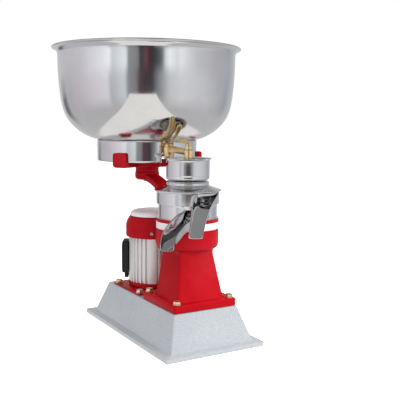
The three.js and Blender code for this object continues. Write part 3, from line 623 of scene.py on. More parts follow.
def column_shape(z0, z1, foot_half, top_half):
    """A tapered column whose ends flare out into fillets."""
    flares = [
        (90, 4.5), (91.2, 3.2), (92.6, 1.8), (95, 0.7), (99, 0), (140, 0), (174, 0),
        (179, 0.6), (182.5, 1.8), (185, 3.6), (186.5, 5.2),
    ]
    loops = []
    for z, flare in flares:
        t = (z - z0) / (z1 - z0)
        hx = foot_half[0] + (top_half - foot_half[0]) * t + flare
        hy = foot_half[1] + (top_half - foot_half[1]) * t + flare
        at = (HEAD[0], HEAD[1] - 8.3 * (1 - t))
        loops.append(level(rounded_rect(hx, hy, 7 - t + flare * 0.3, at), z))
    return skin(loops)


def boss_shape():
    """The block behind the cup that carries the bracket. back and front are Y positions."""
    levels = [
        (163, 17, -66, -92), (167, 22, -58, -95), (174, 27, -51, -98), (182, 30, -47, -100),
        (190, 31, -45.8, -101), (210.5, 31, -45.8, -101), (212.4, 30.4, -46.4, -100.6),
        (213, 29, -47.8, -100),
    ]
    loops = []
    for z, wide, back, front in levels:
        outline = rounded_rect(wide, (back - front) / 2, 9, (HEAD[0], (back + front) / 2))
        loops.append(level(outline, z))
    return skin(loops)


def build_frame_casting():
    low, _ = span("frame_casting")
    half_x, _ = half_size("frame_casting")
    half_depth = 68
    at = (centre("frame_casting")[0], low[1] + half_depth)
    flange = slab(half_x, half_depth, 5, low[2], low[2] + 15.5, at, 3.2)
    column = column_shape(88.8, 186, (51.2, 48), 36.3)
    cup = spun([
        (0, 184.6), (52, 184.6, 5), (58.8, 187.6, 4), (60.9, 195, 6), (60.9, 243.8, 0.7),
        (56, 243.8, 0.7), (56, 190.5, 3), (0, 190.5),
    ], HEAD, 128)
    shape = together(flange, column, cup, boss_shape())
    put("frame_body", shape, "frame_casting", flat=50)

    low, high = foot("label_band"), top("label_band")
    r, _ = half_size("label_band")
    section = [(r - 0.5, low), (r, low, 0.3), (r, high, 0.3), (r - 0.5, high)]
    band = spun(section, HEAD, 128, closed=True)
    put("white_band", band, "label_band")


def bolt_shape(x, y, seat, flat_radius, head_height, washer, turn):
    """A hex head with a dished top, on a washer."""
    thick = 1.6
    up = seat + thick
    peak = up + head_height
    loops = []

    def ring(radius, height):
        points = []
        for k in range(HEX_POINTS):
            a = 2 * math.pi * k / HEX_POINTS
            r = radius(a)
            points.append((x + r * math.cos(a + turn), y + r * math.sin(a + turn), height(r)))
        loops.append(points)

    for share, z in ((0.985, up), (1, up + 0.3)):
        ring(lambda a: hex_radius(a, flat_radius) * share, lambda r: z)
    ring(lambda a: hex_radius(a, flat_radius), lambda r: peak - 0.35 - (r - flat_radius * 0.94) * 0.62)
    for share, z in ((0.94, peak - 0.2), (0.84, peak), (0.60, peak - 0.05), (0.55, peak - 0.35)):
        ring(lambda a: flat_radius * share, lambda r: z)
    section = [(3.9, seat), (washer, seat, 0.4), (washer, up, 0.4), (3.9, up)]
    under = spun(section, (x, y), HEX_POINTS, closed=True)
    return together(skin(loops), under)


def build_bolts():
    for group in ("frame_bolt", "motor_bolt"):
        for i in range(1, 5):
            node = f"{group}_{i}"
            x, y, _ = centre(node)
            turn = rnd.uniform(0, math.pi / 3)
            shape = bolt_shape(
                x, y, top(node) - 6.9, flat_radius=6.4, head_height=5.3, washer=8.1, turn=turn)
            put(f"{node}_head", shape, node)


# ---------- bracket ----------

def arm_shape():
    """The curved arm, as a bar bent in the plane X = 0. The path gives Y and Z."""
    path = spline([
        (-56, 184), (-56, 222), (-56, 250), (-52.5, 267), (-42, 283),
        (-24, 295.8), (0, 304.6), (24, 310.4), (44, 312.6),
    ])
    loops = []
    for i, (y, z) in enumerate(path):
        before, after = path[max(i - 1, 0)], path[min(i + 1, len(path) - 1)]
        t = Vector((after[0] - before[0], after[1] - before[1])).normalized()
        half_thick = 6.4 + 1.6 * min(max((z - 250) / 30, 0), 1)
        loop = []
        for across, up in rounded_rect(15, half_thick, 4.2, steps=4):
            loop.append((across, y - t.y * up, z + t.x * up))
        loops.append(loop)
    return skin(loops)


def spider_lug(upper):
    """The lug at the end of an arm along +X: z, half width, and its inner and outer distance."""
    levels = [
        (336, 11.5, 99, 112), (337.2, 13, 98, 115), (339.5, 14.2, 98, 117.2), (342, 14.5, 98, 118),
        (upper - 0.5, 14.5, 98, 118), (upper, 14.5, 107.6, 118), (359, 14.5, 107.6, 118),
        (363, 14, 107.7, 117.8), (365.4, 12.9, 107.9, 117.2), (366.2, 11.4, 108.6, 116),
    ]
    loops = []
    for z, half, inner, outer in levels:
        thick = (outer - inner) / 2
        at = (TANK[0] + (inner + outer) / 2, TANK[1])
        loops.append(level(rounded_rect(thick, half, min(3.2, thick - 0.3), at, 4), z))
    return skin(loops)


def build_bracket():
    collar = spun([
        (0, 305), (22, 305, 3), (26, 309, 3), (26, 321.7, 1), (0, 321.7),
    ], TANK, 64)
    put("arm_casting", together(arm_shape(), collar), "bracket_arm", flat=40)

    upper = 346.7
    shapes = [spun([
        (0, 322), (25, 322, 1), (25, 332, 3), (30, 335.5, 3), (62, 335.5, 2.5), (64, upper, 1.5), (0, upper),
    ], TANK, 96)]
    arm = along_x([
        (36, 15, 335.5, upper), (60, 13.5, 335.5, upper), (84, 13, 335.5, upper),
        (98, 13.6, 335.8, upper), (108, 14.3, 336.6, upper),
    ], 2.6, TANK, 4)
    for angle in (94, 214, 334):
        shapes.append(turned(arm, angle, TANK))
        shapes.append(turned(spider_lug(upper), angle, TANK))
    put("tank_spider", together(*shapes), "tank_bracket", flat=40)

    low = foot("hub_bolt")
    head = hexagon(centre("hub_bolt"), 6.9, [(0.86, low), (1, low + 0.8), (1, low + 3.7)])
    put("hub_bolt_head", head, "hub_bolt")


# ---------- separating head ----------

def trough_grid(stations, lip_round=4.5):
    """Open sheet of a spout. Each station has the left and right wall in plan, then the heights
    of the floor and of both walls."""
    rows = []
    for lu, lv, ru, rv, floor, left_top, right_top in spline(stations, 8):
        left, right = Vector((lu, lv)), Vector((ru, rv))
        across = (right - left).normalized()
        width = (right - left).length
        row = []

        def put_point(offset, z):
            p = left + across * offset
            row.append((p.x, -p.y, z))

        r = min(lip_round, width * 0.3, (left_top - floor) * 0.8, (right_top - floor) * 0.8)
        for k in range(7):
            put_point(0, left_top + (floor + r - left_top) * k / 6)
        for k in range(1, 5):
            a = math.pi / 2 * k / 4
            put_point(r * (1 - math.cos(a)), floor + r * (1 - math.sin(a)))
        for k in range(1, 8):
            put_point(r + (width - 2 * r) * k / 8, floor - 0.6 * math.sin(math.pi * k / 8))
        for k in range(4, -1, -1):
            a = math.pi / 2 * k / 4
            put_point(width - r * (1 - math.cos(a)), floor + r * (1 - math.sin(a)))
        for k in range(1, 7):
            put_point(width, floor + r + (right_top - floor - r) * k / 6)
        rows.append(row)
    count = len(rows[0])
    verts = [p for row in rows for p in row]
    faces = []
    for s in range(len(rows) - 1):
        for i in range(count - 1):
            a = s * count + i
            faces.append((a, a + 1, a + 1 + count, a + count))
    return verts, faces


def spout(stations):
    verts, faces = trough_grid(stations)
    c, s = math.cos(SPOUT_TURN), math.sin(SPOUT_TURN)
    return [(HEAD[0] + x * c - y * s, HEAD[1] + x * s + y * c, z) for x, y, z in verts], faces


def mouth_keeper(left, right, z0, z1):
    """Keeps a pan's wall except in the window behind its spout."""
    def bearing(point):
        return math.atan2(-point[1], point[0]) + SPOUT_TURN
    a, b = sorted((bearing(left), bearing(right)))

    def keep(angle, z):
        inside = any(a < angle + 2 * math.pi * k < b for k in (-1, 0, 1))
        return not (inside and z0 < z < z1)
    return keep


def build_covers():
    floor = rounded([(47.9, 253.6), (48.6, 244.7, 2), (60, 244.7)])
    wall = [(57, z) for z in (244.9, 246.5, 250, 255, 259, 263, 268)]
    wall += rounded([(57, 268), (57, 270.2, 1), (57.4, 272), (57.2, 272.2)])
    keep = mouth_keeper((-3.2, 57.4), (40.2, 41.1), 246.5, 263)
    shape = together(lathe(floor, HEAD, 144), lathe(wall, HEAD, 144, keep=keep))
    put("skim_cover_sheet", shape, "skim_milk_cover", sheet=SHEET, flat=45)
    shape = spout([
        (-3.0, 57.1, 40.4, 40.6, 246.2, 264, 262),
        (-4.5, 65.5, 37, 54, 245.3, 264, 262),
        (-17, 78, 3, 73, 226.6, 260, 246),
        (-30.5, 88, -10, 87, 214.6, 247, 234),
        (-43, 99, -19, 98, 205, 230, 222),
        (-47, 109, -23, 109, 197.2, 209, 208),
    ])
    put("skim_spout_sheet", shape, "skim_milk_cover", paint=SKIM_SPOUT_SHADED_STEEL, sheet=SHEET, flat=60)

    floor = [(25, 282.6), (26.6, 274.2), (28.5, 273.4), (60.9, 273.4)]
    wall = [(60.9, z) for z in (273.4, 274.2, 278, 282, 286, 290, 294, 296.8)]
    keep = mouth_keeper((19.6, 58.3), (58.8, 18), 274.2, 290)
    shape = together(lathe(floor, HEAD, 144), lathe(wall, HEAD, 144, keep=keep))
    put("cream_cover_sheet", shape, "cream_cover", sheet=SHEET, flat=45)
    shape = spout([
        (19.4, 58.0, 58.9, 18.2, 273.4, 296.2, 296.2),
        (19, 64, 58, 26, 272.8, 295.5, 293),
        (12.5, 76, 44, 60, 265.4, 287, 273),
        (7.5, 90, 35, 84, 242.6, 256, 250),
        (4.5, 104, 29, 103, 219.6, 224, 223),
    ])
    put("cream_spout_sheet", shape, "cream_cover", paint=CREAM_SPOUT_STEEL, sheet=SHEET, flat=60)


def build_lid():
    z = foot("cover_lid")
    outer = [
        (66, z + 1.3, 1.2), (65.4, z + 2.7, 0.8), (60, z + 4.2, 2), (43.5, z + 9.6, 3), (41.4, z + 12.5, 2),
        (42.4, z + 15.5, 2), (40.6, z + 19.2, 2), (36, z + 20.3, 2), (14, z + 20.3),
    ]
    inner = [(14, z + 18.9), (36, z + 18.9), (39.2, z + 17), (40, z + 13), (40.6, z + 8.8), (62.4, z)]
    lid = spun([(65.2, z, 0.8)] + outer + inner, HEAD, 144, closed=True)
    put("lid_sheet", lid, "cover_lid")


def build_float_chamber():
    low, high = foot("float_chamber"), top("float_chamber")
    lip, _ = half_size("float_chamber")
    z0, r = 318.8, 42.7  # the floor's underside and the wall's outside
    cup = [
        (5.2, low), (5.2, z0, 1), (39.4, z0, 2.5), (r - 0.6, z0 + 1.6, 1.5), (r + 0.1, z0 + 4.2, 1.2),
        (r - 0.5, z0 + 6.6, 1.2), (r, z0 + 9, 1), (r, high - 3.6, 3), (lip - 0.6, high - 1.1, 1),
        (lip, high - 0.5, 0.4), (lip - 0.4, high, 0.4), (r - 0.4, high - 1.9, 2.5), (r - SHEET, high - 5, 2),
        (r - SHEET, z0 + 5, 3), (38.4, z0 + SHEET, 2), (4, z0 + SHEET, 1), (4, low),
    ]
    shape = spun(cup, HEAD, 144, closed=True)
    put("float_cup_sheet", shape, "float_chamber")

    z = foot("float")
    disc = [
        (0, z + 4), (29, z + 4, 3), (33, z, 1), (34, z, 0.6), (34, z + 7, 1.5),
        (30, z + 11, 2), (4, z + 14, 2), (3, z + 22, 0.8), (0, z + 22),
    ]
    put("float_disc", spun(disc, HEAD), "float")


# ---------- milk tank ----------

def build_tank():
    z0, z1 = foot("milk_tank"), top("milk_tank")
    rim, _ = half_size("milk_tank")
    outside = spline([
        (100, z0 + 0.15), (112, z0 + 2.3), (126, z0 + 7.5), (141, z0 + 15.9), (156, z0 + 28.1),
        (168, z0 + 42.7), (175.5, z0 + 57.7), (181, z0 + 78.7), (184.6, z0 + 106.7), (187, z0 + 138.7),
        (188, z0 + 174.7),
        (189.2, z0 + 181.5), (192.2, z0 + 186.6), (197, z0 + 189.2),
    ], 7)
    roll = [
        (rim - 1.2, z1 - 3.6), (rim - 0.35, z1 - 2.9), (rim, z1 - 1.9), (rim - 0.35, z1 - 0.8),
        (rim - 1.3, z1 - 0.15), (rim - 2.4, z1 - 0.1), (rim - 3.4, z1 - 0.7), (rim - 3.9, z1 - 1.7),
    ]
    inside = spline([
        (195, z0 + 190.4), (190.6, z0 + 187.4), (187.6, z0 + 182), (186.5, z0 + 174.7), (185.5, z0 + 138.7),
        (183.1, z0 + 106.9), (179.5, z0 + 79.1), (174.1, z0 + 58.3), (166.8, z0 + 43.7), (155, z0 + 29.3),
        (140.2, z0 + 17.3), (125.4, z0 + 8.9), (111.6, z0 + 3.8), (100, z0 + 1.6),
    ], 5)
    profile = [(0, z0), (94, z0)] + outside + roll + inside + [(94, z0 + 1.5), (0, z0 + 1.5)]
    put("tank_shell", lathe(profile, TANK, 192), "milk_tank", paint=TANK_STEEL, flat=60)


def build_skirt():
    """The ring under the tank, open where the tap comes out."""
    half_gap = 12.2
    x, y = joint_axis("tap_turn")
    tap_bearing = math.atan2(y - TANK[1], x - TANK[0])
    low, high = foot("tank_skirt"), top("tank_skirt")
    r = half_size("tank_skirt")[0] - SHEET / 2
    wall = [(r, low + (high - low) * k / 12) for k in range(13)]

    def keep(angle, z):
        off = (angle - tap_bearing + math.pi) % (2 * math.pi) - math.pi
        return abs(off) * r > half_gap
    put("skirt_sheet", lathe(wall, TANK, 240, keep=keep), "tank_skirt", sheet=SHEET)


def tap_casting_shape(plug, nozzle, heading, reach):
    """The tap's barrel, the pipe back to its inlet, and the outlet to the nozzle over the cup."""
    bore = 375  # height of the pipes' centre line
    back = 36
    inlet = (plug[0] - heading[0] * back, plug[1] - heading[1] * back)
    barrel = spun([
        (6.3, 361), (8.4, 361, 0.6), (9.2, 363, 1.5), (9.6, 366.5, 2), (10, 374, 4), (9.8, 379, 2),
        (8.6, 381, 0.8), (8.8, 382, 0.5), (9.3, 382.4, 0.5), (9.3, 384.5, 0.6), (6.3, 384.5),
    ], plug, 64, closed=True)
    pipe = swept([(d, bore, 6.6, 6.6) for d in (0, -10, -back)], plug, heading, 32)
    elbow = spun([
        (0, 368.4), (6.6, 368.4, 2), (6.6, 386, 1), (13, 386, 0.8), (13, 391, 0.4), (0, 391),
    ], inlet, 48)
    outlet = swept(spline([
        (5, bore, 6.2, 6.2), (12, bore, 6.0, 6.0), (15.4, bore, 6.1, 6.1), (17.2, bore, 7.2, 7.2),
        (19.5, bore, 7.6, 7.6), (23.5, bore, 7.3, 7.3), (34, bore - 0.2, 6.9, 6.7),
        (reach - 36, bore - 0.8, 6.6, 6.4), (reach - 20, bore - 1.6, 6.4, 6.1),
        (reach - 8, bore - 2.7, 6.1, 5.9), (reach, bore - 3.8, 6, 5.8),
    ], 5), plug, heading, 32)
    spray = spun([
        (5, 358), (7.6, 358, 0.5), (8.3, 359.2, 0.6), (8.3, 376.4, 0.8), (7.4, 377.6, 0.6),
        (6.5, 378.6, 0.5), (6.3, 386, 0.4), (0, 386), (0, 374), (5, 374),
    ], nozzle, 56)
    return together(barrel, pipe, elbow, outlet, spray)


def lever_shape(plug, heading):
    """The S-shaped lever: distance from the plug, z, half width, half thickness."""
    return swept(spline([
        (-6.2, 388.0, 2.2, 0.6), (-5.6, 388.1, 4.0, 1.4), (-4, 388.3, 5.2, 2.1), (0, 388.4, 5.4, 2.2),
        (4, 388.3, 4.9, 2.2), (12, 389.5, 3.7, 2.3), (20, 393, 3.2, 2.5), (28, 398.3, 3.1, 2.5),
        (35, 403.7, 3.3, 2.5), (41, 408.6, 4.0, 2.5), (46, 413.4, 5.0, 2.5), (50, 418.2, 5.8, 2.4),
        (53, 422.4, 5.4, 2.1), (54.3, 424.6, 3.6, 1.5), (54.9, 425.6, 1.2, 0.5),
    ], 5), plug, heading, 28, 0.85)


def wing_shape(nozzle, heading):
    """The crescent on the nozzle, thickest halfway along."""
    path = []
    for i in range(25):
        t = i / 24
        rise = math.sin(math.pi * (0.03 + 0.94 * t))
        path.append((7 - 62 * t, 389.2 + 4.6 * rise, 1.2 + 2.4 * rise ** 0.35, 0.5 + 4.1 * rise))
    return swept(path, nozzle, heading, 24, 0.8)


def build_tap():
    plug = joint_axis("tap_turn")
    nozzle = joint_axis("nozzle_cap_turn")
    heading = Vector((nozzle[0] - plug[0], nozzle[1] - plug[1]))
    reach = heading.length
    heading = tuple(heading.normalized())
    casting = tap_casting_shape(plug, nozzle, heading, reach)
    put("tap_casting", casting, "tap_body", flat=40)

    cone = spun([
        (0, 356), (3, 356, 0.4), (3, 360.4), (6, 361.2), (6, 384.9), (7.2, 384.9, 0.3),
        (7.2, 386.2, 0.4), (3, 386.9, 0.4), (2.1, 388.6), (0, 388.6),
    ], plug, 48)
    put("tap_cone", cone, "tap_plug")
    put("tap_handle_lever", lever_shape(plug, heading), "tap_lever", paint=DARKER_BRASS, flat=60)
    nut = hexagon(plug, 6, [(0.9, 356.2), (1, 356.8), (1, 359.2), (0.95, 359.7)])
    put("tap_lock_nut", nut, "tap_nut")

    stem = spun([
        (0, 386.3), (6.4, 386.3, 0.5), (6.4, 388.6, 0.8), (5.2, 390.4, 0.8), (0, 390.6),
    ], nozzle, 48)
    put("nozzle_wing_cap", together(stem, wing_shape(nozzle, heading)), "nozzle_cap", flat=60)

    low, high = foot("tank_nut"), top("tank_nut")
    nut = hexagon(centre("tank_nut"), 8.66, [
        (0.97, low), (1, low + 0.4), (1, high - 0.8), (0.92, high), (0.6, high), (0.5, low + 1),
    ])
    put("tank_lock_nut", nut, "tank_nut")


# ---------- motor ----------

def fin_outline(root, tip, count):
    """The housing's outline as (angle, radius): single fins, and wide pads where two have joined."""
    step = 360 / count
    flank = [(0.36, root), (0.27, root + 0.3), (0.2, root + 1.2), (0.13, tip - 0.8), (0.09, tip - 0.2)]
    fin = [(-offset, r) for offset, r in flank] + [(0, tip)] + flank[::-1]
    pad_start = [
        (-0.5, root + 0.2), (-0.42, tip - 0.5), (-0.36, tip), (-0.18, tip), (0, tip), (0.18, tip), (0.5, tip),
    ]
    pad_end = [(-0.18, tip), (0, tip), (0.18, tip), (0.36, tip), (0.42, tip - 0.5), (0.5, root + 0.2)]
    outline = []
    for i in range(count):
        middle = 360 * (i + 0.5) / count + 60
        spots = {7: pad_start, 0: pad_end}.get(i % 8, fin)
        outline += [(math.radians(middle + offset * step), r) for offset, r in spots]
    return outline


def housing_shape():
    """The finned tube, from its bore out over both ends."""
    low, high = foot("motor_housing"), top("motor_housing")
    bore = 44.0
    outline = fin_outline(root=47.6, tip=53.0, count=32)
    loops = []
    for inset, z, fixed in (
            (0, low + 0.1, bore), (0.8, low, None), (0, low + 0.8, None),
            (0, high - 0.8, None), (0.8, high, None), (0, high - 0.1, bore)):
        loop = []
        for a, r in outline:
            reach = fixed or r - inset
            loop.append((MOTOR[0] + reach * math.cos(a), MOTOR[1] + reach * math.sin(a), z))
        loops.append(loop)
    verts, faces = skin(loops, caps=False)
    n = len(outline)
    last = (len(loops) - 1) * n
    for i in range(n):
        j = (i + 1) % n
        faces.append((last + i, last + j, j, i))
    return verts, faces


def build_motor():
    at = centre("motor_plate")[:2]
    half_x, half_y = half_size("motor_plate")
    plate = slab(half_x, half_y, 5, foot("motor_plate"), top("motor_plate"), at, 0.9)
    put("motor_plate_sheet", plate, "motor_plate")

    z = foot("lower_end_shield")
    lower = [
        (12, z), (46, z, 1), (49.2, z + 2, 2), (50.2, z + 6, 2), (50.2, z + 11.4, 0.8),
        (24, z + 11.4), (24, z + 19.4), (16.3, z + 19.4), (16.3, z + 5.4), (12, z + 5.4),
    ]
    shapes = [spun(lower, MOTOR, closed=True)]
    for i in range(4):
        ear = slab(9, 9, 3, z + 0.2, z + 8, (MOTOR[0] + 45, MOTOR[1]), 1.2)
        shapes.append(turned(ear, 45 + 90 * i, MOTOR))
    put("lower_shield_casting", together(*shapes), "lower_end_shield", flat=40)

    put("housing_extrusion", housing_shape(), "motor_housing", flat=30)

    z = foot("upper_end_shield")
    r, _ = half_size("upper_end_shield")
    upper = [
        (44, z), (r - 0.3, z, 0.8), (r, z + 3, 1), (r, z + 28, 6), (r - 4.2, z + 37, 6), (50, z + 44, 3.5),
        (10, z + 44), (10, z + 39), (16.3, z + 39), (16.3, z + 25), (22, z + 25), (22, z + 38),
        (47, z + 38, 4), (54, z + 28, 4), (54, z + 3), (44, z + 3),
    ]
    shape = spun(upper, MOTOR, 128, closed=True, steps=6)
    put("upper_shield_casting", shape, "upper_end_shield", flat=40)

    z = foot("fan_cap")
    cap = [
        (48.2, z), (50, z, 0.6), (49.3, z + 4.2, 2.5), (46.6, z + 8.6, 3), (40, z + 11.2, 4),
        (24, z + 12.1, 8), (0, z + 12.3), (0, z + 10.7), (36, z + 10.4, 3), (45.6, z + 6.4, 3), (48.2, z + 1),
    ]
    shape = lathe(rounded(cap, False, 6) + [(48.2, z)], MOTOR, 128)
    put("fan_cap_shell", shape, "fan_cap", flat=50)


def build_cover_screws():
    """Domed heads standing out from the upper shield, each with a slot at its own angle."""
    sides = 32
    slot_half, slot_depth, slot_from = 0.55, 0.9, 60.7
    for i in range(1, 4):
        node = f"cover_screw_{i}"
        x, y, z = centre(node)
        out = Vector((x - MOTOR[0], y - MOTOR[1], 0)).normalized()
        side = Vector((-out.y, out.x, 0))
        up = Vector((0, 0, 1))
        turn = rnd.uniform(0, math.pi)
        loops = []
        for radius, d in ((3.5, 59.3), (3.7, 59.8), (3.5, 60.6), (2.8, 61.2), (1.6, 61.55), (0.5, 61.6)):
            loop = []
            for k in range(sides):
                a = 2 * math.pi * k / sides
                across, high = radius * math.cos(a), radius * math.sin(a)
                from_slot = abs(across * math.cos(turn) + high * math.sin(turn))
                depth = slot_depth if from_slot < slot_half and d > slot_from else 0
                p = Vector((MOTOR[0], MOTOR[1], z)) + out * (d - depth) + side * across + up * high
                loop.append(tuple(p))
            loops.append(loop)
        put(f"{node}_head", skin(loops), node, flat=60)


def build_terminal_box():
    """The box, its neck down to the gland, and its stepped cover."""
    box = along_x([
        (53.3, 21.6, 108.4, 175.6), (54, 22, 108, 176), (61.4, 22, 108, 176), (62, 21.5, 108.5, 175.5),
    ], 3, MOTOR, 5)
    neck = along_x([
        (53.3, 8.6, 98.4, 112), (54, 9, 98, 112), (61.4, 9, 98, 112), (62, 8.5, 98.4, 112),
    ], 2, MOTOR, 5)
    cover = along_x([
        (62.3, 21.6, 108.4, 175.6), (62.8, 22, 108, 176), (64.6, 22, 108, 176), (65.4, 21.4, 108.8, 175.2),
        (66.3, 20, 111.4, 172.6), (67, 17.6, 116, 168), (67.4, 13, 124, 160), (67.5, 6, 134, 150),
    ], 3, MOTOR, 5)
    gland = spun([
        (2.6, 94), (4.1, 94, 0.4), (4.5, 95, 0.4), (4.5, 97.7, 0.3), (2.6, 97.7),
    ], (MOTOR[0] + 58.2, MOTOR[1]), 36, closed=True)
    box = turned(together(box, neck), TERMINAL_TURN, MOTOR)
    cover = turned(cover, TERMINAL_TURN, MOTOR)
    gland = turned(gland, TERMINAL_TURN, MOTOR)
    put("terminal_box_body", box, "terminal_box")
    put("terminal_box_lid", cover, "terminal_cover", flat=40)
    put("gland_body", gland, "cable_gland")


# ---------- everything else of the CAD model ----------

def finish_cad_nodes():
    """Every CAD node gets its slot's paint. Those with no new piece over them show it."""
    for name, node in frame["nodes"].items():
        node.data.materials.clear()
        node.data.materials.append(PAINT[SLOT_OF[name]])


# ---------- studio ----------

def build_camera():
    forward = Vector((
        -math.sin(AZIMUTH) * math.cos(PITCH),
        math.cos(AZIMUTH) * math.cos(PITCH),
        math.sin(PITCH),
    ))
    up = RIGHT.cross(forward)
    across = RIGHT * math.cos(ROLL) + up * math.sin(ROLL)
    upward = up * math.cos(ROLL) - RIGHT * math.sin(ROLL)
    data = bpy.data.cameras.new("camera")
    data.sensor_width = SENSOR
    data.lens = LENS
    camera = bpy.data.objects.new("camera", data)
    scene.collection.objects.link(camera)
    at = Vector(CAMERA_AT)
    camera.matrix_world = Matrix((
        (across.x, upward.x, -forward.x, at.x),
        (across.y, upward.y, -forward.y, at.y),
        (across.z, upward.z, -forward.z, at.z),
        (0, 0, 0, 1),
    ))
    scene.camera = camera


def studio_world():
    """Soft white surroundings, in which mirrors see light panels with dark gaps between them."""
    world = bpy.data.worlds.new("studio")
    scene.world = world
    world.use_nodes = True
    tree = world.node_tree
    tree.nodes.clear()
    new, link = tree.nodes.new, tree.links.new
    coord = new("ShaderNodeTexCoord")

    def dot(direction):
        node = new("ShaderNodeVectorMath")
        node.operation = "DOT_PRODUCT"
        node.inputs[1].default_value = direction
        link(coord.outputs["Generated"], node.inputs[0])
        return node.outputs["Value"]

    def math_node(operation, *values):
        node = new("ShaderNodeMath")
        node.operation = operation
        for value, socket in zip(values, node.inputs):
            feed(tree, value, socket)
        return node.outputs[0]

    # 0 and 1 are straight behind the machine, and 0.5 is towards the camera.
    angle = math_node("ARCTAN2", dot(RIGHT), dot(NEARER))
    place = math_node("MULTIPLY_ADD", angle, 1 / (2 * math.pi), 0.5)

    def panels(stops):
        """A ring of panels. Each stop is at its degrees from the camera's side, right of it positive."""
        return color_ramp(tree, place, [((degrees + 180) / 360, color) for degrees, color in stops])

    high_panels = panels([
        # the back and the wide soft panel on the left
        (-180, (0.62, 0.62, 0.63)), (-125, (0.60, 0.59, 0.61)), (-102, (0.64, 0.62, 0.65)),
        (-86, (0.69, 0.66, 0.71)), (-70, (0.80, 0.80, 0.83)), (-54, (0.94, 0.95, 0.99)),
        (-43, (1.06, 1.08, 1.12)), (-39, (0.72, 0.73, 0.76)),
        # a narrow white card, then its grey stand
        (-30, (0.86, 0.91, 0.93)), (-21.5, (0.96, 1.0, 1.01)),
        (-18.5, (0.33, 0.33, 0.34)), (-7, (0.29, 0.29, 0.30)),
        # the dark gap that the camera looks through
        (-4, (0.05, 0.05, 0.055)), (1, (0.10, 0.085, 0.09)), (4, (0.22, 0.06, 0.09)),
        (7, (0.06, 0.04, 0.045)), (14, (0.055, 0.06, 0.06)), (21, (0.13, 0.14, 0.14)),
        (24, (0.28, 0.29, 0.29)),
        # the bright panel on the right, which fades to the back
        (27, (0.76, 0.79, 0.80)), (32, (1.05, 1.08, 1.09)), (42, (0.85, 0.85, 0.87)),
        (47, (0.98, 0.98, 1.0)), (58, (0.80, 0.81, 0.84)), (70, (0.67, 0.68, 0.71)),
        (83, (0.63, 0.63, 0.64)), (97, (0.54, 0.53, 0.57)), (136, (0.44, 0.46, 0.50)),
        (156, (0.55, 0.57, 0.60)), (180, (0.62, 0.62, 0.63)),
    ])
    low_panels = panels([
        # the back, with a dark flag
        (-180, (0.60, 0.60, 0.61)), (-146, (0.60, 0.60, 0.60)), (-141, (0.20, 0.20, 0.20)),
        (-131, (0.20, 0.20, 0.21)), (-124, (0.50, 0.49, 0.51)),
        # the left panel's foot and the white card's
        (-90, (0.64, 0.60, 0.64)), (-67, (0.78, 0.73, 0.77)), (-47, (0.84, 0.83, 0.87)),
        (-42, (0.56, 0.56, 0.58)), (-35, (0.62, 0.63, 0.66)), (-24, (0.74, 0.77, 0.80)),
        # the dark gap
        (-19, (0.31, 0.32, 0.34)), (-10, (0.27, 0.25, 0.26)), (-5, (0.11, 0.07, 0.08)),
        (2, (0.07, 0.05, 0.055)), (11, (0.06, 0.06, 0.07)), (17, (0.22, 0.23, 0.24)),
        # the right panel's foot, fading to the back
        (25, (0.42, 0.43, 0.44)), (33, (0.66, 0.68, 0.69)), (50, (0.78, 0.79, 0.80)),
        (90, (0.66, 0.66, 0.68)), (112, (0.52, 0.53, 0.55)), (123, (0.47, 0.49, 0.52)),
        (128, (0.42, 0.45, 0.49)), (135, (0.42, 0.45, 0.49)), (139, (0.50, 0.52, 0.54)),
        (180, (0.60, 0.60, 0.61)),
    ])
    ceiling = (0.27, 0.27, 0.265)
    ground = (0.56, 0.55, 0.565)
    surround = (0.68, 0.68, 0.69)
    backdrop = (1.0, 1.0, 1.0)
    height = dot((0, 0, 1))
    walls = mix_colors(tree, map_range(tree, height, -0.08, 0.03), low_panels, high_panels)
    with_ceiling = mix_colors(tree, map_range(tree, height, 0.2, 0.5), walls, ceiling)
    mirrored = mix_colors(tree, map_range(tree, height, -0.22, -0.5), with_ceiling, ground)
    path = new("ShaderNodeLightPath")
    lit = mix_colors(tree, path.outputs["Is Glossy Ray"], surround, mirrored)
    seen = mix_colors(tree, path.outputs["Is Camera Ray"], lit, backdrop)
    background = new("ShaderNodeBackground")
    link(seen, background.inputs["Color"])
    output = new("ShaderNodeOutputWorld")
    link(background.outputs[0], output.inputs[0])


def stage_material(name, color, glow, body=1.0):
    """Matt paper of a colour that also glows. body scales how much light it sends back."""
    material = bpy.data.materials.new(name)
    material.use_nodes = True
    shader = material.node_tree.nodes["Principled BSDF"]
    set_inputs(shader, base_color=(*toned(color, body), 1), roughness=1.0, specular_ior_level=0.0,
               emission_color=(*color, 1), emission_strength=glow)
    return material


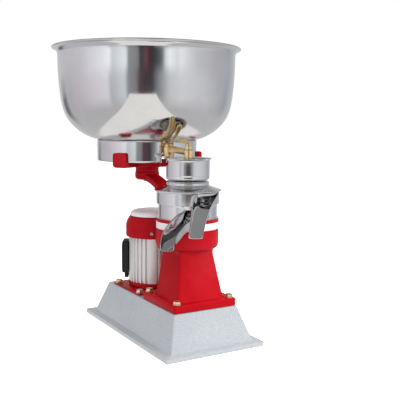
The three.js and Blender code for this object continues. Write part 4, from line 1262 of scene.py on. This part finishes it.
def stage_sheet(name, corners, material):
    mesh = bpy.data.meshes.new(name)
    mesh.from_pydata(corners, [], [tuple(range(len(corners)))])
    mesh.materials.append(material)
    sheet = bpy.data.objects.new(name, mesh)
    scene.collection.objects.link(sheet)
    return sheet


def area_light(name, at, aim, size, power):
    """A soft lamp that mirrors don't see."""
    data = bpy.data.lights.new(name, "AREA")
    data.shape = "RECTANGLE"
    data.size, data.size_y = size
    data.energy = power
    light = bpy.data.objects.new(name, data)
    light.location = at
    light.rotation_euler = (Vector(aim) - Vector(at)).to_track_quat("-Z", "Y").to_euler()
    light.visible_glossy = False
    scene.collection.objects.link(light)


def build_studio():
    studio_world()
    paper = stage_material("floor_paper", (0.93, 0.93, 0.93), 0.62)
    z = -0.0003
    floor = stage_sheet("floor", [(-9, -9, z), (9, -9, z), (9, 9, z), (-9, 9, z)], paper)
    floor.visible_glossy = False
    floor.visible_diffuse = False

    # A pale table top that only mirrors see, wider towards the camera.
    axis = Vector((TANK[0] * MM, TANK[1] * MM, -0.001))
    outline = [(-0.5, -0.34), (-0.5, 0.34), (0.25, 0.36), (2.35, 0.66), (2.35, -0.72), (0.25, -0.36)]
    corners = [tuple(axis + NEARER * ahead + RIGHT * aside) for ahead, aside in outline]
    card = stage_material("table_card", (0.95, 0.93, 0.89), 0.97, body=0.0)
    table = stage_sheet("table_card", corners, card)
    table.visible_camera = False
    table.visible_diffuse = False
    table.visible_shadow = False
    table.visible_transmission = False

    area_light("top_light", at=(0.2, -0.1, 2.4), aim=(0, 0, 0), size=(2.6, 2.6), power=40)
    area_light("key_light", at=(1.2, -2.6, 1.2), aim=(0, -0.1, 0.2), size=(1.6, 1.4), power=56)
    area_light("side_light", at=(-2.6, -1.0, 0.5), aim=(0, 0, 0.25), size=(1.2, 1.0), power=10)


build_camera()
finish_cad_nodes()
build_base()
build_frame_casting()
build_bolts()
build_bracket()
build_covers()
build_lid()
build_float_chamber()
build_tank()
build_skirt()
build_tap()
build_motor()
build_cover_screws()
build_terminal_box()
build_studio()
